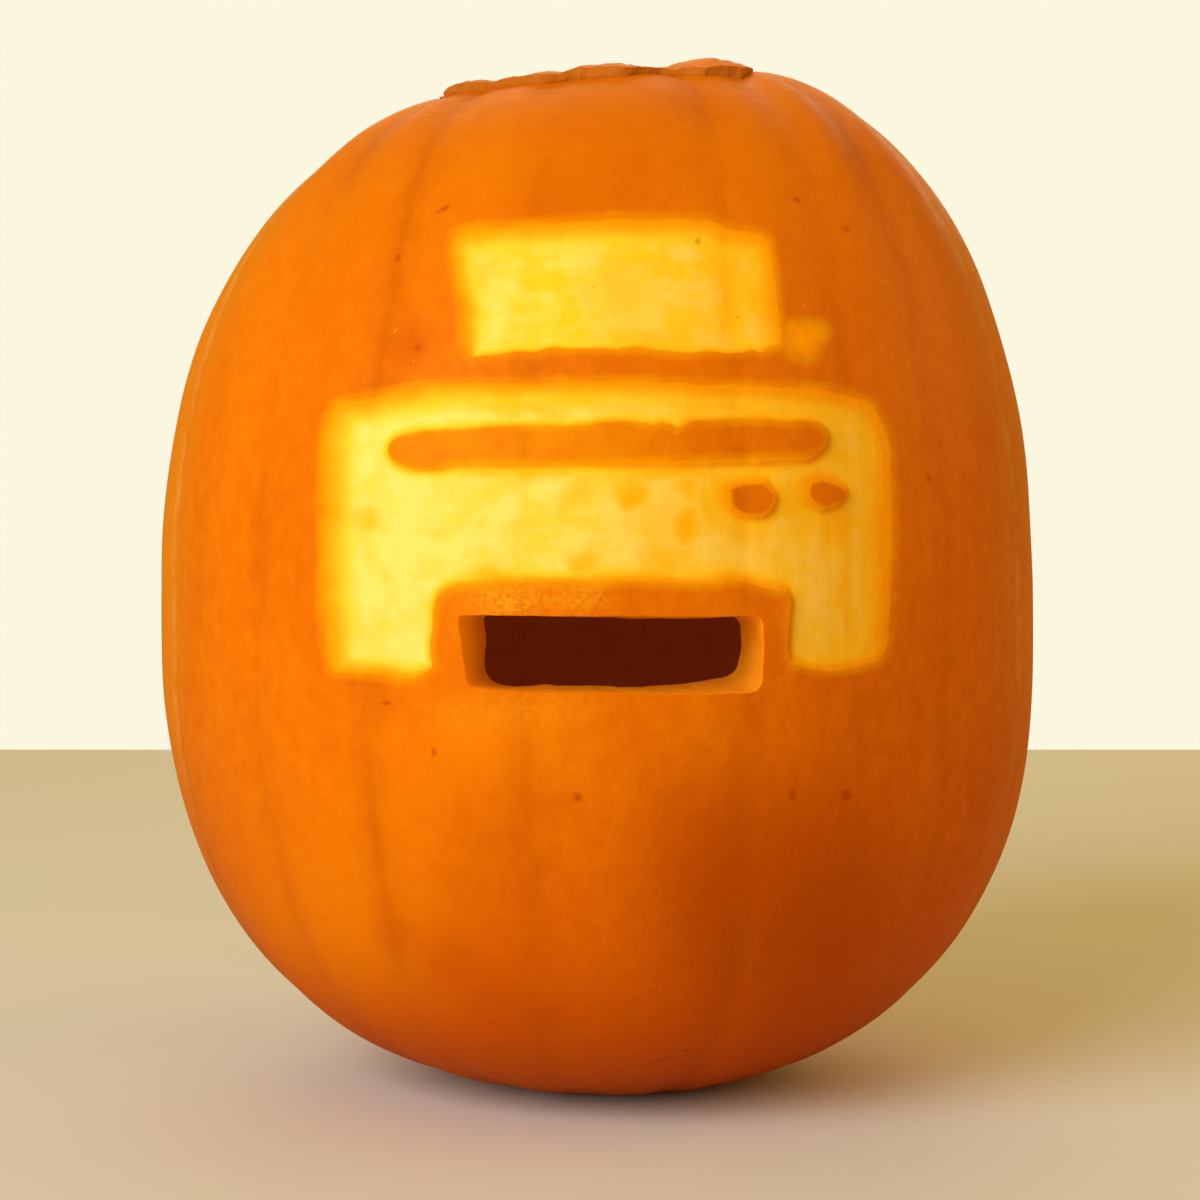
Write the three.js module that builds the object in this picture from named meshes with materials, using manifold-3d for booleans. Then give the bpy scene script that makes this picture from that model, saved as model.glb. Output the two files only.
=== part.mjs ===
// A carved pumpkin lantern: a hollow pumpkin with a picture of an office printer scraped
// through its skin, a paper slot cut right through the wall, and the cut crown that lies
// back in the hand hole as a lid.
// Millimetres, +Z up. The carving faces -Y. The origin is on the ground, under the middle.
import * as THREE from "three";
import { mergeVertices } from "three/addons/utils/BufferGeometryUtils.js";
import Module from "manifold-3d";

// The whole fruit. Its side view is two half superellipses that meet at the equator.
const EQUATOR_RADIUS = 125.5;
const EQUATOR_HEIGHT = 129.4;
const CROWN_RISE = 162;
const CROWN_SQUARENESS = 2.51;
const BASE_DROP = 131;
const BASE_SQUARENESS = 2.36;
const CROWN_SLANT = 0.09; // rise of the crown for each millimetre to the right
const BELLY_DRIFT = 0.8; // how far the lower half leans to the right, halfway down
const BASE_DRIFT = 2.7; // and at the base
const CROWN_DIP = 10; // depth of the hollow round the stem
const CROWN_DIP_RADIUS = 33;

// The ribs. Each groove has its azimuth in degrees at the equator, its depth against the
// rest, and how far the shoulder of the rib after it swells. 0 is the front and 90 the
// right-hand side.
const FRONT_GROOVES = [
  [-70, 1, 2],
  [-46, 0.9, 1.2],
  [-28.5, 1, 0.2],
  [-8.3, 0.7, 0.3],
  [18, 1.1, 0.8],
  [33, 0.3, 2.2],
  [48, 0.9, 1.8],
  [69, 1, 0.4],
];
const CROWN_LEAN = 34; // degrees by which the front ribs spread apart on the way to the crown
const BASE_LEAN = 18; // and to the base
const BACK_GROOVES = 9;
const BACK_SWELL = 0.9;
const SWELL_START_RADIUS = 30; // the swelling of a shoulder begins this far from the stem
const SWELL_FULL_RADIUS = 70;
const RIB_SWELL = 0.25; // how far a rib's crown stands out, against the groove's depth
const RIB_DEPTH = 0.9;
const RIB_DEPTH_AT_ENDS = 1.1;
const RIB_ROUNDNESS = 0.5;
const STEM_FADE_RADIUS = 16; // the ribs run out this near the stem
const BASE_FADE_RADIUS = 52; // and this near the blossom end
const COLUMNS_PER_RIB = 4;

// The hollow and the cuts.
const WALL = 20;
const RECESS_DEPTH = 1.9;
const PEEL_DEPTH = 0.6;
const CUT_REACH = 150; // how far forward of the axis the cutting shapes run

// The hand hole, as azimuth and radius of the corners between straight knife strokes, at
// the height HOLE_HEIGHT. The knife leaned in, so that the crown can't fall through.
const HOLE_CORNERS = [
  [-90, 47.5],
  [-58, 52.5],
  [-38, 45.5],
  [-19, 49],
  [-8, 46.5],
  [8, 50.5],
  [22, 47],
  [33, 54],
  [45, 56],
  [56, 51.5],
  [90, 42.5],
  [120, 49],
  [150, 46.5],
  [180, 50],
  [212, 47],
  [240, 50],
];
const HOLE_HEIGHT = 286;
const HOLE_TOP = 304;
const KNIFE_LEAN = 25; // degrees from upright
const LID_GAP = 0.35;
const LID_UNDERSIDE = 266;
const LID_LIFT = 1.2; // how proud the middle of the crown lies

// How high the lid's edge stands over the rim, by azimuth in degrees. It lies flush at the
// sides and behind, and stands proud in front, where the last cut met the first.
const LID_EDGE = [
  [-180, 0.3],
  [-90, 0.2],
  [-62, 0.3],
  [-59, 0.8],
  [-57, 2.2],
  [-53, 3],
  [-47, 2.7],
  [-38, 2.7],
  [-30, 2.4],
  [-25, 2.5],
  [-18, 2.9],
  [-12, 2.5],
  [-6, 3.5],
  [1, 3.2],
  [9, 2.8],
  [14, 1.8],
  [22, 1.4],
  [26, 1.6],
  [30, 2],
  [37, 2.3],
  [42, 2.9],
  [46, 3.2],
  [50, 2.2],
  [53, 0.9],
  [56, 0.2],
  [90, 0],
  [180, 0.3],
];
const LID_EDGE_REACH = 16; // how far in from the edge its height fades
const HUMP = { x: 30.5, y: -38, wide: 10.5, deep: 6.5, height: 0.85 };
const STEM_RADIUS = 9;
const STEM_HEIGHT = 4;
const STEM_LOBES = 5;

// The paper slot. Its side walls were cut towards the axis, its top and bottom level.
const SLOT = { left: -34.7, right: 42.1, bottom: 124.3, top: 143.6, corner: 2.6 };
const SLOT_FACE = 119.5; // the distance forward of the axis where those sizes hold
const SLOT_NEAR = 84;
const SLOT_FAR = 135;

// The carving in front elevation. A corner is x, height and rounding radius.
const SHEET = [
  [-34.4, 209.3, 2],
  [3.3, 210.8, 20],
  [46.2, 210.9, 2],
  [45.6, 242.3, 3],
  [3.4, 244.4, 20],
  [-37.4, 240.7, 3],
];
const PRINTER = [
  [-66.4, 128.9, 3],
  [-42.5, 127.6, 3],
  [-42.3, 150, 4.5],
  [3.3, 151.9, 25],
  [49.2, 149.4, 4.5],
  [48.9, 131.3, 3],
  [71.7, 127.5, 3],
  [75.7, 146, 20],
  [77.2, 172, 20],
  [74.9, 197.4, 6],
  [39.1, 201.4, 25],
  [0.8, 202.2, 25],
  [-37.5, 201.1, 25],
  [-69, 196.9, 6],
  [-69.1, 172, 20],
  [-67.4, 146.4, 20],
];
const BAR = { left: -53.3, right: 59.5, leftHeight: 185.3, rightHeight: 188.3, half: 4.2 };
const BUTTONS = [
  { x: 39.3, height: 173.3, wide: 5.7, high: 4.2 },
  { x: 59.1, height: 173.7, wide: 5.1, high: 3.5 },
];
const PEELED_PATCH = [
  [49.3, 208.3, 2],
  [59.2, 208.8, 2],
  [58.6, 217, 2],
  [48.7, 216.6, 2],
];

const radians = THREE.MathUtils.degToRad;
const GROOVES = allGrooves();

// The grooves of the front, then evenly spaced ones round the back.
function allGrooves() {
  const [first] = FRONT_GROOVES[0];
  const [last, depth] = FRONT_GROOVES.at(-1);
  const step = (first + 360 - last) / (BACK_GROOVES + 1);
  const back = Array.from({ length: BACK_GROOVES }, (_, i) => [
    last + (i + 1) * step,
    depth,
    BACK_SWELL * Math.sin(2 * i + 1),
  ]);
  return [...FRONT_GROOVES, ...back].map(([azimuth, share, swell]) => ({
    azimuth: radians(azimuth),
    share,
    swell,
  }));
}

// The azimuths of the columns: one on each groove, and evenly spaced ones between.
function ribColumns() {
  return GROOVES.flatMap(({ azimuth }, i) =>
    Array.from(
      { length: COLUMNS_PER_RIB },
      (_, k) => azimuth + (ribWidth(i) * k) / COLUMNS_PER_RIB,
    ),
  );
}

function ribWidth(i) {
  const last = i + 1 === GROOVES.length;
  return GROOVES[(i + 1) % GROOVES.length].azimuth - GROOVES[i].azimuth + (last ? 2 * Math.PI : 0);
}

// At an azimuth: how deep the skin lies between its rib's crown, 0, and its groove, 1, and
// how far the rib's shoulder swells there.
function ribAt(azimuth) {
  const turn = 2 * Math.PI;
  const start = GROOVES[0].azimuth;
  const at = start + ((((azimuth - start) % turn) + turn) % turn);
  let i = GROOVES.length - 1;
  while (GROOVES[i].azimuth > at + 1e-9) i -= 1;
  const t = THREE.MathUtils.clamp((at - GROOVES[i].azimuth) / ribWidth(i), 0, 1);
  const arch = Math.sin(Math.PI * t);
  const next = GROOVES[(i + 1) % GROOVES.length];
  return {
    groove: (1 - arch ** RIB_ROUNDNESS) * THREE.MathUtils.lerp(GROOVES[i].share, next.share, t),
    swell: arch ** 2 * GROOVES[i].swell,
  };
}

// A point of the fruit. azimuth is that of its line along the rib at the equator, climb runs
// from -90 degrees at the base to 90 at the crown, and depth is how far under the skin the
// point lies.
function fruitPoint(azimuth, climb, depth, ribbed) {
  const upper = climb >= 0;
  const rise = upper ? CROWN_RISE : BASE_DROP;
  const power = upper ? CROWN_SQUARENESS : BASE_SQUARENESS;
  const cosine = Math.cos(climb);
  const sine = Math.sin(climb);
  const reach =
    ((cosine / EQUATOR_RADIUS) ** power + (Math.abs(sine) / rise) ** power) ** (-1 / power);
  let radius = reach * cosine;
  let height = reach * sine;

  const outward = new THREE.Vector2(
    radius ** (power - 1) / EQUATOR_RADIUS ** power,
    (Math.sign(height) * Math.abs(height) ** (power - 1)) / rise ** power,
  ).normalize();
  const toEnd = Math.abs(height) / rise;
  const fadeRadius = upper ? STEM_FADE_RADIUS : BASE_FADE_RADIUS;
  const fade = THREE.MathUtils.smoothstep(radius, fadeRadius / 3, fadeRadius);
  const ribDepth = THREE.MathUtils.lerp(RIB_DEPTH, RIB_DEPTH_AT_ENDS, toEnd ** 3) * fade;
  const { groove, swell } = ribAt(azimuth);
  const shoulder = THREE.MathUtils.smoothstep(radius, SWELL_START_RADIUS, SWELL_FULL_RADIUS);
  const relief = ribDepth * (groove - RIB_SWELL) - (upper ? swell * shoulder * toEnd ** 4 : 0);
  const under = depth + (ribbed ? relief : 0);
  if (upper && ribbed) height -= CROWN_DIP * Math.exp(-((radius / CROWN_DIP_RADIUS) ** 3));
  radius = Math.max(radius - under * outward.x, 0);
  height -= under * outward.y;

  const lean = radians(upper ? CROWN_LEAN * toEnd ** 6 : BASE_LEAN * toEnd ** 3);
  const around = azimuth + (lean * Math.sin(azimuth) * (1 + Math.cos(azimuth))) / 2;
  const x = radius * Math.sin(around);
  const y = -radius * Math.cos(around);
  const slant = upper ? CROWN_SLANT * x * toEnd ** 2 : 0;
  const drift = upper ? 0 : BELLY_DRIFT * Math.sin(Math.PI * toEnd) ** 2 + BASE_DRIFT * toEnd ** 2;
  return new THREE.Vector3(x + drift, y, EQUATOR_HEIGHT + height + slant);
}

// Closes a stack of rings, each counterclockwise seen from above, with a fan at each end.
function closedRings(rings) {
  const columns = rings[0].length;
  const points = rings.flat();
  const faces = [];
  for (let row = 0; row + 1 < rings.length; row++)
    for (let column = 0; column < columns; column++) {
      const a = row * columns + column;
      const b = row * columns + ((column + 1) % columns);
      faces.push(a, b, b + columns, a, b + columns, a + columns);
    }
  const bottom = points.push(middle(rings[0])) - 1;
  const top = points.push(middle(rings.at(-1))) - 1;
  const lastRow = (rings.length - 1) * columns;
  for (let column = 0; column < columns; column++) {
    const next = (column + 1) % columns;
    faces.push(bottom, next, column, top, lastRow + column, lastRow + next);
  }
  const geometry = new THREE.BufferGeometry().setFromPoints(points);
  geometry.setIndex(faces);
  return geometry;
}

function middle(ring) {
  return ring.reduce((sum, p) => sum.add(p), new THREE.Vector3()).divideScalar(ring.length);
}

// The fruit, or a smaller one a given depth under its skin. What would lie under the
// ground is pressed flat: the spot that the fruit stands on.
function fruit({ depth, azimuths, ribbed, climbs }) {
  return closedRings(
    climbs.map((climb) =>
      azimuths.map((azimuth) => {
        const point = fruitPoint(azimuth, radians(climb), depth, ribbed);
        point.z = Math.max(point.z, depth);
        return point;
      }),
    ),
  );
}

function steps(from, to, step) {
  return Array.from({ length: Math.round((to - from) / step) + 1 }, (_, i) => from + i * step);
}

// An outline from corners with rounding radii, as curves that leave and reach each corner's
// sides a radius away from it.
function roundedOutline(corners) {
  const outline = new THREE.Shape();
  corners.forEach(([x, height, radius], i) => {
    const corner = new THREE.Vector2(x, height);
    const before = new THREE.Vector2(...corners.at(i - 1));
    const after = new THREE.Vector2(...corners[(i + 1) % corners.length]);
    const start = toward(corner, before, radius);
    const end = toward(corner, after, radius);
    if (i === 0) outline.moveTo(start.x, start.y);
    else outline.lineTo(start.x, start.y);
    outline.quadraticCurveTo(corner.x, corner.y, end.x, end.y);
  });
  outline.closePath();
  return outline;
}

function toward(from, to, distance) {
  const longest = 0.45 * from.distanceTo(to);
  return to.clone().sub(from).setLength(Math.min(distance, longest)).add(from);
}

// The strip left standing under the sheet, with round ends.
function barOutline({ left, right, leftHeight, rightHeight, half }) {
  const tilt = Math.atan2(rightHeight - leftHeight, right - left);
  const outline = new THREE.Path();
  outline.absarc(left + half, leftHeight, half, tilt + Math.PI / 2, tilt + 1.5 * Math.PI);
  outline.absarc(right - half, rightHeight, half, tilt - Math.PI / 2, tilt + Math.PI / 2);
  outline.closePath();
  return outline;
}

function buttonOutline({ x, height, wide, high }) {
  const outline = new THREE.Path();
  outline.absellipse(x, height, wide, high, 0, 2 * Math.PI);
  return outline;
}

// A front-elevation outline as a solid that runs forward from the axis.
function forward(outline) {
  const geometry = new THREE.ExtrudeGeometry(outline, {
    depth: CUT_REACH,
    bevelEnabled: false,
    curveSegments: 6,
  });
  return geometry.rotateX(Math.PI / 2);
}

// The wedge that the slot leaves: its width shrinks towards the axis, its height doesn't.
function slotWedge() {
  const { left, right, bottom, top, corner } = SLOT;
  const corners = [
    [left, bottom, corner],
    [right, bottom, corner],
    [right, top, corner],
    [left, top, corner],
  ];
  const outline = roundedOutline(corners).getPoints(4).slice(0, -1);
  const rings = [SLOT_NEAR, SLOT_FAR].map((distance) =>
    outline.map((p) => new THREE.Vector3((p.x * distance) / SLOT_FACE, -distance, p.y)),
  );
  return closedRings(rings);
}

// The tapered plug that the knife cut out, or the hole that it left, a gap wider.
function plug(gap, heights) {
  const rings = heights.map((height) => {
    const inward = (HOLE_HEIGHT - height) * Math.tan(radians(KNIFE_LEAN));
    return HOLE_CORNERS.map(([azimuth, cornerRadius]) => {
      const radius = cornerRadius - inward + gap;
      return new THREE.Vector3(
        radius * Math.sin(radians(azimuth)),
        -radius * Math.cos(radians(azimuth)),
        height,
      );
    });
  });
  return closedRings(rings);
}

// The broken stem: a low corky stub with lobes, sunk into the crown.
function stemStub(height) {
  const columns = steps(0, 330, 30);
  const rings = [
    [height - 6, 1.25],
    [height, 1],
    [height + STEM_HEIGHT * 0.8, 0.78],
    [height + STEM_HEIGHT, 0.5],
  ].map(([level, share]) =>
    columns.map((degrees) => {
      const azimuth = radians(degrees);
      const radius = STEM_RADIUS * share * (1 + 0.12 * Math.cos(STEM_LOBES * azimuth));
      return new THREE.Vector3(
        radius * Math.sin(azimuth),
        -radius * Math.cos(azimuth),
        level,
      );
    }),
  );
  return closedRings(rings);
}

// How far the crown stands over the skin that it was cut from.
function lidLift(x, y) {
  const azimuth = THREE.MathUtils.radToDeg(Math.atan2(x, -y));
  const next = Math.max(LID_EDGE.findIndex(([after]) => after >= azimuth), 1);
  const [from, low] = LID_EDGE[next - 1];
  const [to, high] = LID_EDGE[next];
  const edge = THREE.MathUtils.lerp(low, high, (azimuth - from) / (to - from));
  const line = Math.min(...HOLE_CORNERS.map(([, radius]) => radius));
  const toEdge = THREE.MathUtils.smoothstep(Math.hypot(x, y), line - LID_EDGE_REACH, line);
  const right = (x - HUMP.x) / HUMP.wide;
  const back = (y - HUMP.y) / HUMP.deep;
  const hump = HUMP.height * Math.exp(-(right ** 2) - back ** 2);
  return THREE.MathUtils.lerp(LID_LIFT, edge, toEdge) + hump;
}

const manifold = await Module();
manifold.setup();

function solid(geometry) {
  geometry.deleteAttribute("normal");
  geometry.deleteAttribute("uv");
  const { index, attributes } = mergeVertices(geometry, 1e-4);
  return new manifold.Manifold(
    new manifold.Mesh({
      numProp: 3,
      vertProperties: attributes.position.array,
      triVerts: new Uint32Array(index.array),
    }),
  );
}

function mesh(name, shape, material) {
  const { numProp, numVert, vertProperties, triVerts } = shape.getMesh();
  const points = Array.from({ length: numVert }, (_, i) =>
    new THREE.Vector3().fromArray(vertProperties, i * numProp),
  );
  const geometry = new THREE.BufferGeometry().setFromPoints(points);
  geometry.setIndex(new THREE.BufferAttribute(triVerts, 1));
  geometry.computeVertexNormals();
  const made = new THREE.Mesh(geometry, material);
  made.name = name;
  return made;
}

const skinClimbs = [...steps(-87, 63, 6), ...steps(66, 87, 3)];
const azimuths = ribColumns();
const outside = solid(fruit({ depth: 0, azimuths, ribbed: true, climbs: skinClimbs }));
const hollow = solid(
  fruit({
    depth: WALL,
    azimuths: steps(0, 350, 10).map(radians),
    ribbed: false,
    climbs: steps(-84, 84, 8),
  }),
);

function under(depth) {
  return solid(fruit({ depth, azimuths, ribbed: true, climbs: skinClimbs }));
}

const printer = roundedOutline(PRINTER);
printer.holes.push(barOutline(BAR), ...BUTTONS.map(buttonOutline));
const scraped = solid(forward(roundedOutline(SHEET)))
  .add(solid(forward(printer)))
  .subtract(under(RECESS_DEPTH));
const peeled = solid(forward(roundedOutline(PEELED_PATCH))).subtract(under(PEEL_DEPTH));

const plugHeights = [LID_UNDERSIDE, HOLE_HEIGHT, HOLE_TOP];
const shell = outside
  .subtract(hollow)
  .subtract(solid(plug(LID_GAP, [LID_UNDERSIDE - WALL, ...plugHeights])))
  .subtract(solid(slotWedge()))
  .subtract(scraped)
  .subtract(peeled);

// The crown keeps the fruit's own skin, raised a little, on a finer grid for its edge.
const crown = solid(
  fruit({
    depth: 0,
    azimuths: steps(0, 356, 4).map(radians),
    ribbed: true,
    climbs: [...steps(-80, 40, 40), ...steps(60, 87, 1.5)],
  }),
);
const stemFoot = EQUATOR_HEIGHT + CROWN_RISE - CROWN_DIP + LID_LIFT;
const lid = crown
  .warp((point) => {
    point[2] += lidLift(point[0], point[1]);
  })
  .intersect(solid(plug(0, plugHeights)))
  .add(solid(stemStub(stemFoot)));

const skin = new THREE.MeshStandardMaterial({ color: 0xef7a08, roughness: 0.45, metalness: 0 });
const crownSkin = new THREE.MeshStandardMaterial({
  color: 0xd9760f,
  roughness: 0.5,
  metalness: 0,
});

const lantern = new THREE.Group();
lantern.name = "carved_pumpkin_lantern";
lantern.add(mesh("shell", shell, skin), mesh("lid", lid, crownSkin));

export default lantern;
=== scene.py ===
# %% [markdown]
# # A carved pumpkin lantern
#
# The real object is a tall orange pumpkin that somebody emptied through a hand hole in its
# crown. On the front they scraped away the skin in the shape of an office printer, and cut
# a paper slot right through the wall. The cut crown lies back in its hole as a lid.
#
# The lesson builds it in the order in which it was made: the whole fruit first, then the
# scraping, the hollow, the slot, the lid, and last the colours of skin and flesh.

# %% Load the fixed frame
import math

import bpy
import numpy as np
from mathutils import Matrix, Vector


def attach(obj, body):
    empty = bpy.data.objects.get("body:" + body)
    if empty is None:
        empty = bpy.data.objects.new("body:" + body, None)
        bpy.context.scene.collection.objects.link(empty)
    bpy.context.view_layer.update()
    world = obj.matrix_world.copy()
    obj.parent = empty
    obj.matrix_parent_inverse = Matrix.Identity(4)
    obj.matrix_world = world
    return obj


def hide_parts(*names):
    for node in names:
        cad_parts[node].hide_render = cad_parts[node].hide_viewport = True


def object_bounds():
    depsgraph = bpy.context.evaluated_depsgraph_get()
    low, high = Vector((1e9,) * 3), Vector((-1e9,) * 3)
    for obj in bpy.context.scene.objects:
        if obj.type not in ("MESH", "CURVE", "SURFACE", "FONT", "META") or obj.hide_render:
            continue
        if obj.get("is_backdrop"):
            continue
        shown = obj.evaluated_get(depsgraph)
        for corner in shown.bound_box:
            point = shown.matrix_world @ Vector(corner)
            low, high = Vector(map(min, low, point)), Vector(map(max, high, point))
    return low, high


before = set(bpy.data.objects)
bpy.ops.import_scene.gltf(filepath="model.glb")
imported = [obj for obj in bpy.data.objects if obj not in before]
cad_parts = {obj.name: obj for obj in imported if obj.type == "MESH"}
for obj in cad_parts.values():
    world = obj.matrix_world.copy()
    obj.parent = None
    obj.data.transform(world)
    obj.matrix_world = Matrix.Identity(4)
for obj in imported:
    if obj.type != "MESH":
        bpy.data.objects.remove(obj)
cad_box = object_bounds()
MM = 0.001
print("frame pieces:", sorted(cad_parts))
print("CAD box, mm:", [[round(c / MM, 1) for c in corner] for corner in cad_box])

# %% [markdown]
# ## The camera
#
# A low camera looks a little down at the front, from about a metre. A long lens keeps the
# round sides from swelling. Blender's lens length follows from the sensor width: a picture
# 1200 pixels wide that needs a focal length of 3276 pixels takes 36 mm x 3276 / 1200.

# %% Place the camera
CAMERA_RIGHT = 0.8  # mm, to the right of the fruit's axis
CAMERA_DISTANCE = 950
CAMERA_HEIGHT = 206.76
CAMERA_DOWN = 4.085  # degrees
FOCAL_PIXELS = 3275.9
PICTURE_WIDTH = 1200
SENSOR_WIDTH = 36

lens = bpy.data.cameras.new("camera")
lens.sensor_width = SENSOR_WIDTH
lens.lens = SENSOR_WIDTH * FOCAL_PIXELS / PICTURE_WIDTH
camera = bpy.data.objects.new("camera", lens)
camera.location = (CAMERA_RIGHT * MM, -CAMERA_DISTANCE * MM, CAMERA_HEIGHT * MM)
camera.rotation_euler = (math.radians(90 - CAMERA_DOWN), 0, 0)
bpy.context.scene.collection.objects.link(camera)
bpy.context.scene.camera = camera
print("lens, mm:", round(lens.lens, 2))

# %% [markdown]
# ## The form of the fruit
#
# A pumpkin could be sculpted from a sphere, but then its size would be a matter of luck.
# Here a formula gives every point of the skin from three numbers: the azimuth round the
# axis, the climb from the base to the crown, and the depth under the skin. The side view
# is two half superellipses, which are ellipses with squarer shoulders. The same formula
# made the solid in the frame, so that the dressed piece fits it exactly.

# %% Sizes of the fruit, in millimetres
EQUATOR_RADIUS = 125.5
EQUATOR_HEIGHT = 129.4
CROWN_RISE = 162
CROWN_SQUARENESS = 2.51
BASE_DROP = 131
BASE_SQUARENESS = 2.36
CROWN_SLANT = 0.09
BELLY_DRIFT = 0.8
BASE_DRIFT = 2.7
CROWN_DIP = 10
CROWN_DIP_RADIUS = 33
ALMOST_NOTHING = 1e-9

# Each groove has its azimuth in degrees at the equator, its depth against the rest, and
# the swelling of the shoulder after it.
FRONT_GROOVES = [
    (-70, 1, 2),
    (-46, 0.9, 1.2),
    (-28.5, 1, 0.2),
    (-8.3, 0.7, 0.3),
    (18, 1.1, 0.8),
    (33, 0.3, 2.2),
    (48, 0.9, 1.8),
    (69, 1, 0.4),
]
CROWN_LEAN = 34  # degrees by which the front ribs spread apart on the way to the crown
BASE_LEAN = 18  # and to the base
BACK_GROOVES = 9
BACK_SWELL = 0.9
SWELL_START_RADIUS = 30
SWELL_FULL_RADIUS = 70
RIB_SWELL = 0.25
RIB_DEPTH = 0.9
RIB_DEPTH_AT_ENDS = 1.1
RIB_ROUNDNESS = 0.5
GROOVE_SOFTNESS = 0.12  # rounds the bottom of a groove, as a share of a rib's width
STEM_FADE_RADIUS = 16
BASE_FADE_RADIUS = 52
# the painted dark line and shade of a groove fade out between these radii and heights
GROOVE_SHOWS_RADIUS = (20, 60)  # its dark line fades out between these radii
GROOVE_SHOWS_HEIGHT = (22, 70)  # and between these heights
TURN = 2 * math.pi


def all_grooves():
    """The grooves of the front, then evenly spaced ones round the back."""
    first = FRONT_GROOVES[0][0]
    last, depth, _ = FRONT_GROOVES[-1]
    step = (first + 360 - last) / (BACK_GROOVES + 1)
    back = [
        (last + (i + 1) * step, depth, BACK_SWELL * math.sin(2 * i + 1))
        for i in range(BACK_GROOVES)
    ]
    return np.array(FRONT_GROOVES + back, float)


grooves = all_grooves()
groove_azimuths = np.radians(grooves[:, 0])
print("ribs:", len(grooves))

# %% [markdown]
# ## Ribs
#
# Between two grooves a rib rises like an arch. The half sine raised to a power below one
# is full on top and steep at its feet, as a pumpkin's rib is. Near the stem and the base
# the ribs fade out.


# %% Work out the skin, point by point
def smoothstep(value, start, end):
    """0 before start, 1 after end, and a smooth ramp between them."""
    share = np.clip((value - start) / (end - start), 0, 1)
    return share * share * (3 - 2 * share)


def grooves_beside(azimuth):
    """The azimuth within one turn, and the numbers of the grooves before and after it."""
    at = groove_azimuths[0] + np.mod(azimuth - groove_azimuths[0], TURN)
    here = np.searchsorted(groove_azimuths, at + ALMOST_NOTHING, side="right") - 1
    return at, here, (here + 1) % len(grooves)


def rib_at(azimuth):
    """How deep a point lies between its rib's top, 0, and its groove, 1, and its swell."""
    at, here, after = grooves_beside(azimuth)
    width = np.mod(groove_azimuths[after] - groove_azimuths[here], TURN)
    share = np.clip((at - groove_azimuths[here]) / width, 0, 1)
    arch = np.sqrt(np.sin(np.pi * share) ** 2 + GROOVE_SOFTNESS**2)
    depth = grooves[here, 1] * (1 - share) + grooves[after, 1] * share
    groove = np.clip(1 - arch**RIB_ROUNDNESS, 0, 1) * depth
    return groove, np.clip(arch, 0, 1) ** 2 * grooves[here, 2]


def groove_line(azimuth, points):
    """Distance to the nearest groove in mm, and how strongly its painted shade shows there, 0
    to 1.
    """
    at, here, after = grooves_beside(azimuth)
    to_here = np.abs(at - groove_azimuths[here])
    to_after = np.mod(groove_azimuths[after] - at, TURN)
    radius = np.hypot(points[:, 0], points[:, 1])
    nearest = np.where(to_here < to_after, here, after)
    shows = grooves[nearest, 1] * smoothstep(radius, *GROOVE_SHOWS_RADIUS)
    shows = shows * smoothstep(points[:, 2], *GROOVE_SHOWS_HEIGHT)
    return np.minimum(to_here, to_after) * radius, shows


def side_view(upper):
    """How far the side view reaches from the equator, and how square its shoulder is."""
    rise = np.where(upper, CROWN_RISE, BASE_DROP)
    return rise, np.where(upper, CROWN_SQUARENESS, BASE_SQUARENESS)


def fruit_points(azimuth, climb, depth=0.0, ribbed=True):
    """Points of the fruit in millimetres, a given depth under its skin."""
    upper = climb >= 0
    rise, power = side_view(upper)
    cosine = np.maximum(np.cos(climb), ALMOST_NOTHING)
    sine = np.sin(climb)
    reach = (cosine / EQUATOR_RADIUS) ** power + (np.abs(sine) / rise) ** power
    reach = reach ** (-1 / power)
    radius = reach * cosine
    height = reach * sine

    outward_radius = radius ** (power - 1) / EQUATOR_RADIUS**power
    outward_height = np.abs(height) ** (power - 1) / rise**power
    length = np.hypot(outward_radius, outward_height)
    outward_radius = outward_radius / length
    outward_height = np.sign(height) * outward_height / length

    to_end = np.abs(height) / rise
    fade_radius = np.where(upper, STEM_FADE_RADIUS, BASE_FADE_RADIUS)
    fade = smoothstep(radius, fade_radius / 3, fade_radius)
    rib_depth = (RIB_DEPTH + (RIB_DEPTH_AT_ENDS - RIB_DEPTH) * to_end**3) * fade
    groove, swell = rib_at(azimuth)
    shoulder = smoothstep(radius, SWELL_START_RADIUS, SWELL_FULL_RADIUS)
    relief = rib_depth * (groove - RIB_SWELL)
    relief = relief - np.where(upper, swell * shoulder * to_end**4, 0)
    under = depth + (relief if ribbed else 0)
    if ribbed:
        dip = CROWN_DIP * np.exp(-((radius / CROWN_DIP_RADIUS) ** 3))
        height = height - np.where(upper, dip, 0)
    radius = np.maximum(radius - under * outward_radius, 0)
    height = height - under * outward_height

    lean = np.radians(np.where(upper, CROWN_LEAN * to_end**6, BASE_LEAN * to_end**3))
    around = azimuth + lean * np.sin(azimuth) * (1 + np.cos(azimuth)) / 2
    x = radius * np.sin(around)
    y = -radius * np.cos(around)
    slant = np.where(upper, CROWN_SLANT * x * to_end**2, 0)
    drift = BELLY_DRIFT * np.sin(np.pi * to_end) ** 2 + BASE_DRIFT * to_end**2
    x = x + np.where(upper, 0, drift)
    z = np.maximum(EQUATOR_HEIGHT + height + slant, depth)
    return np.stack([x, y, z], axis=-1)


print("front of the equator, mm:", fruit_points(np.zeros(1), np.zeros(1)).round(1))

# %% [markdown]
# ## Seeded unevenness
#
# Nothing on a vegetable is ruled with a straight edge, so lines wander and surfaces roll
# a little. A small table of seeded random numbers, read with a smooth ramp between its
# cells, gives the same gentle unevenness at every run.


# %% A smooth seeded ripple
RIPPLE_CELLS = 64


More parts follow.
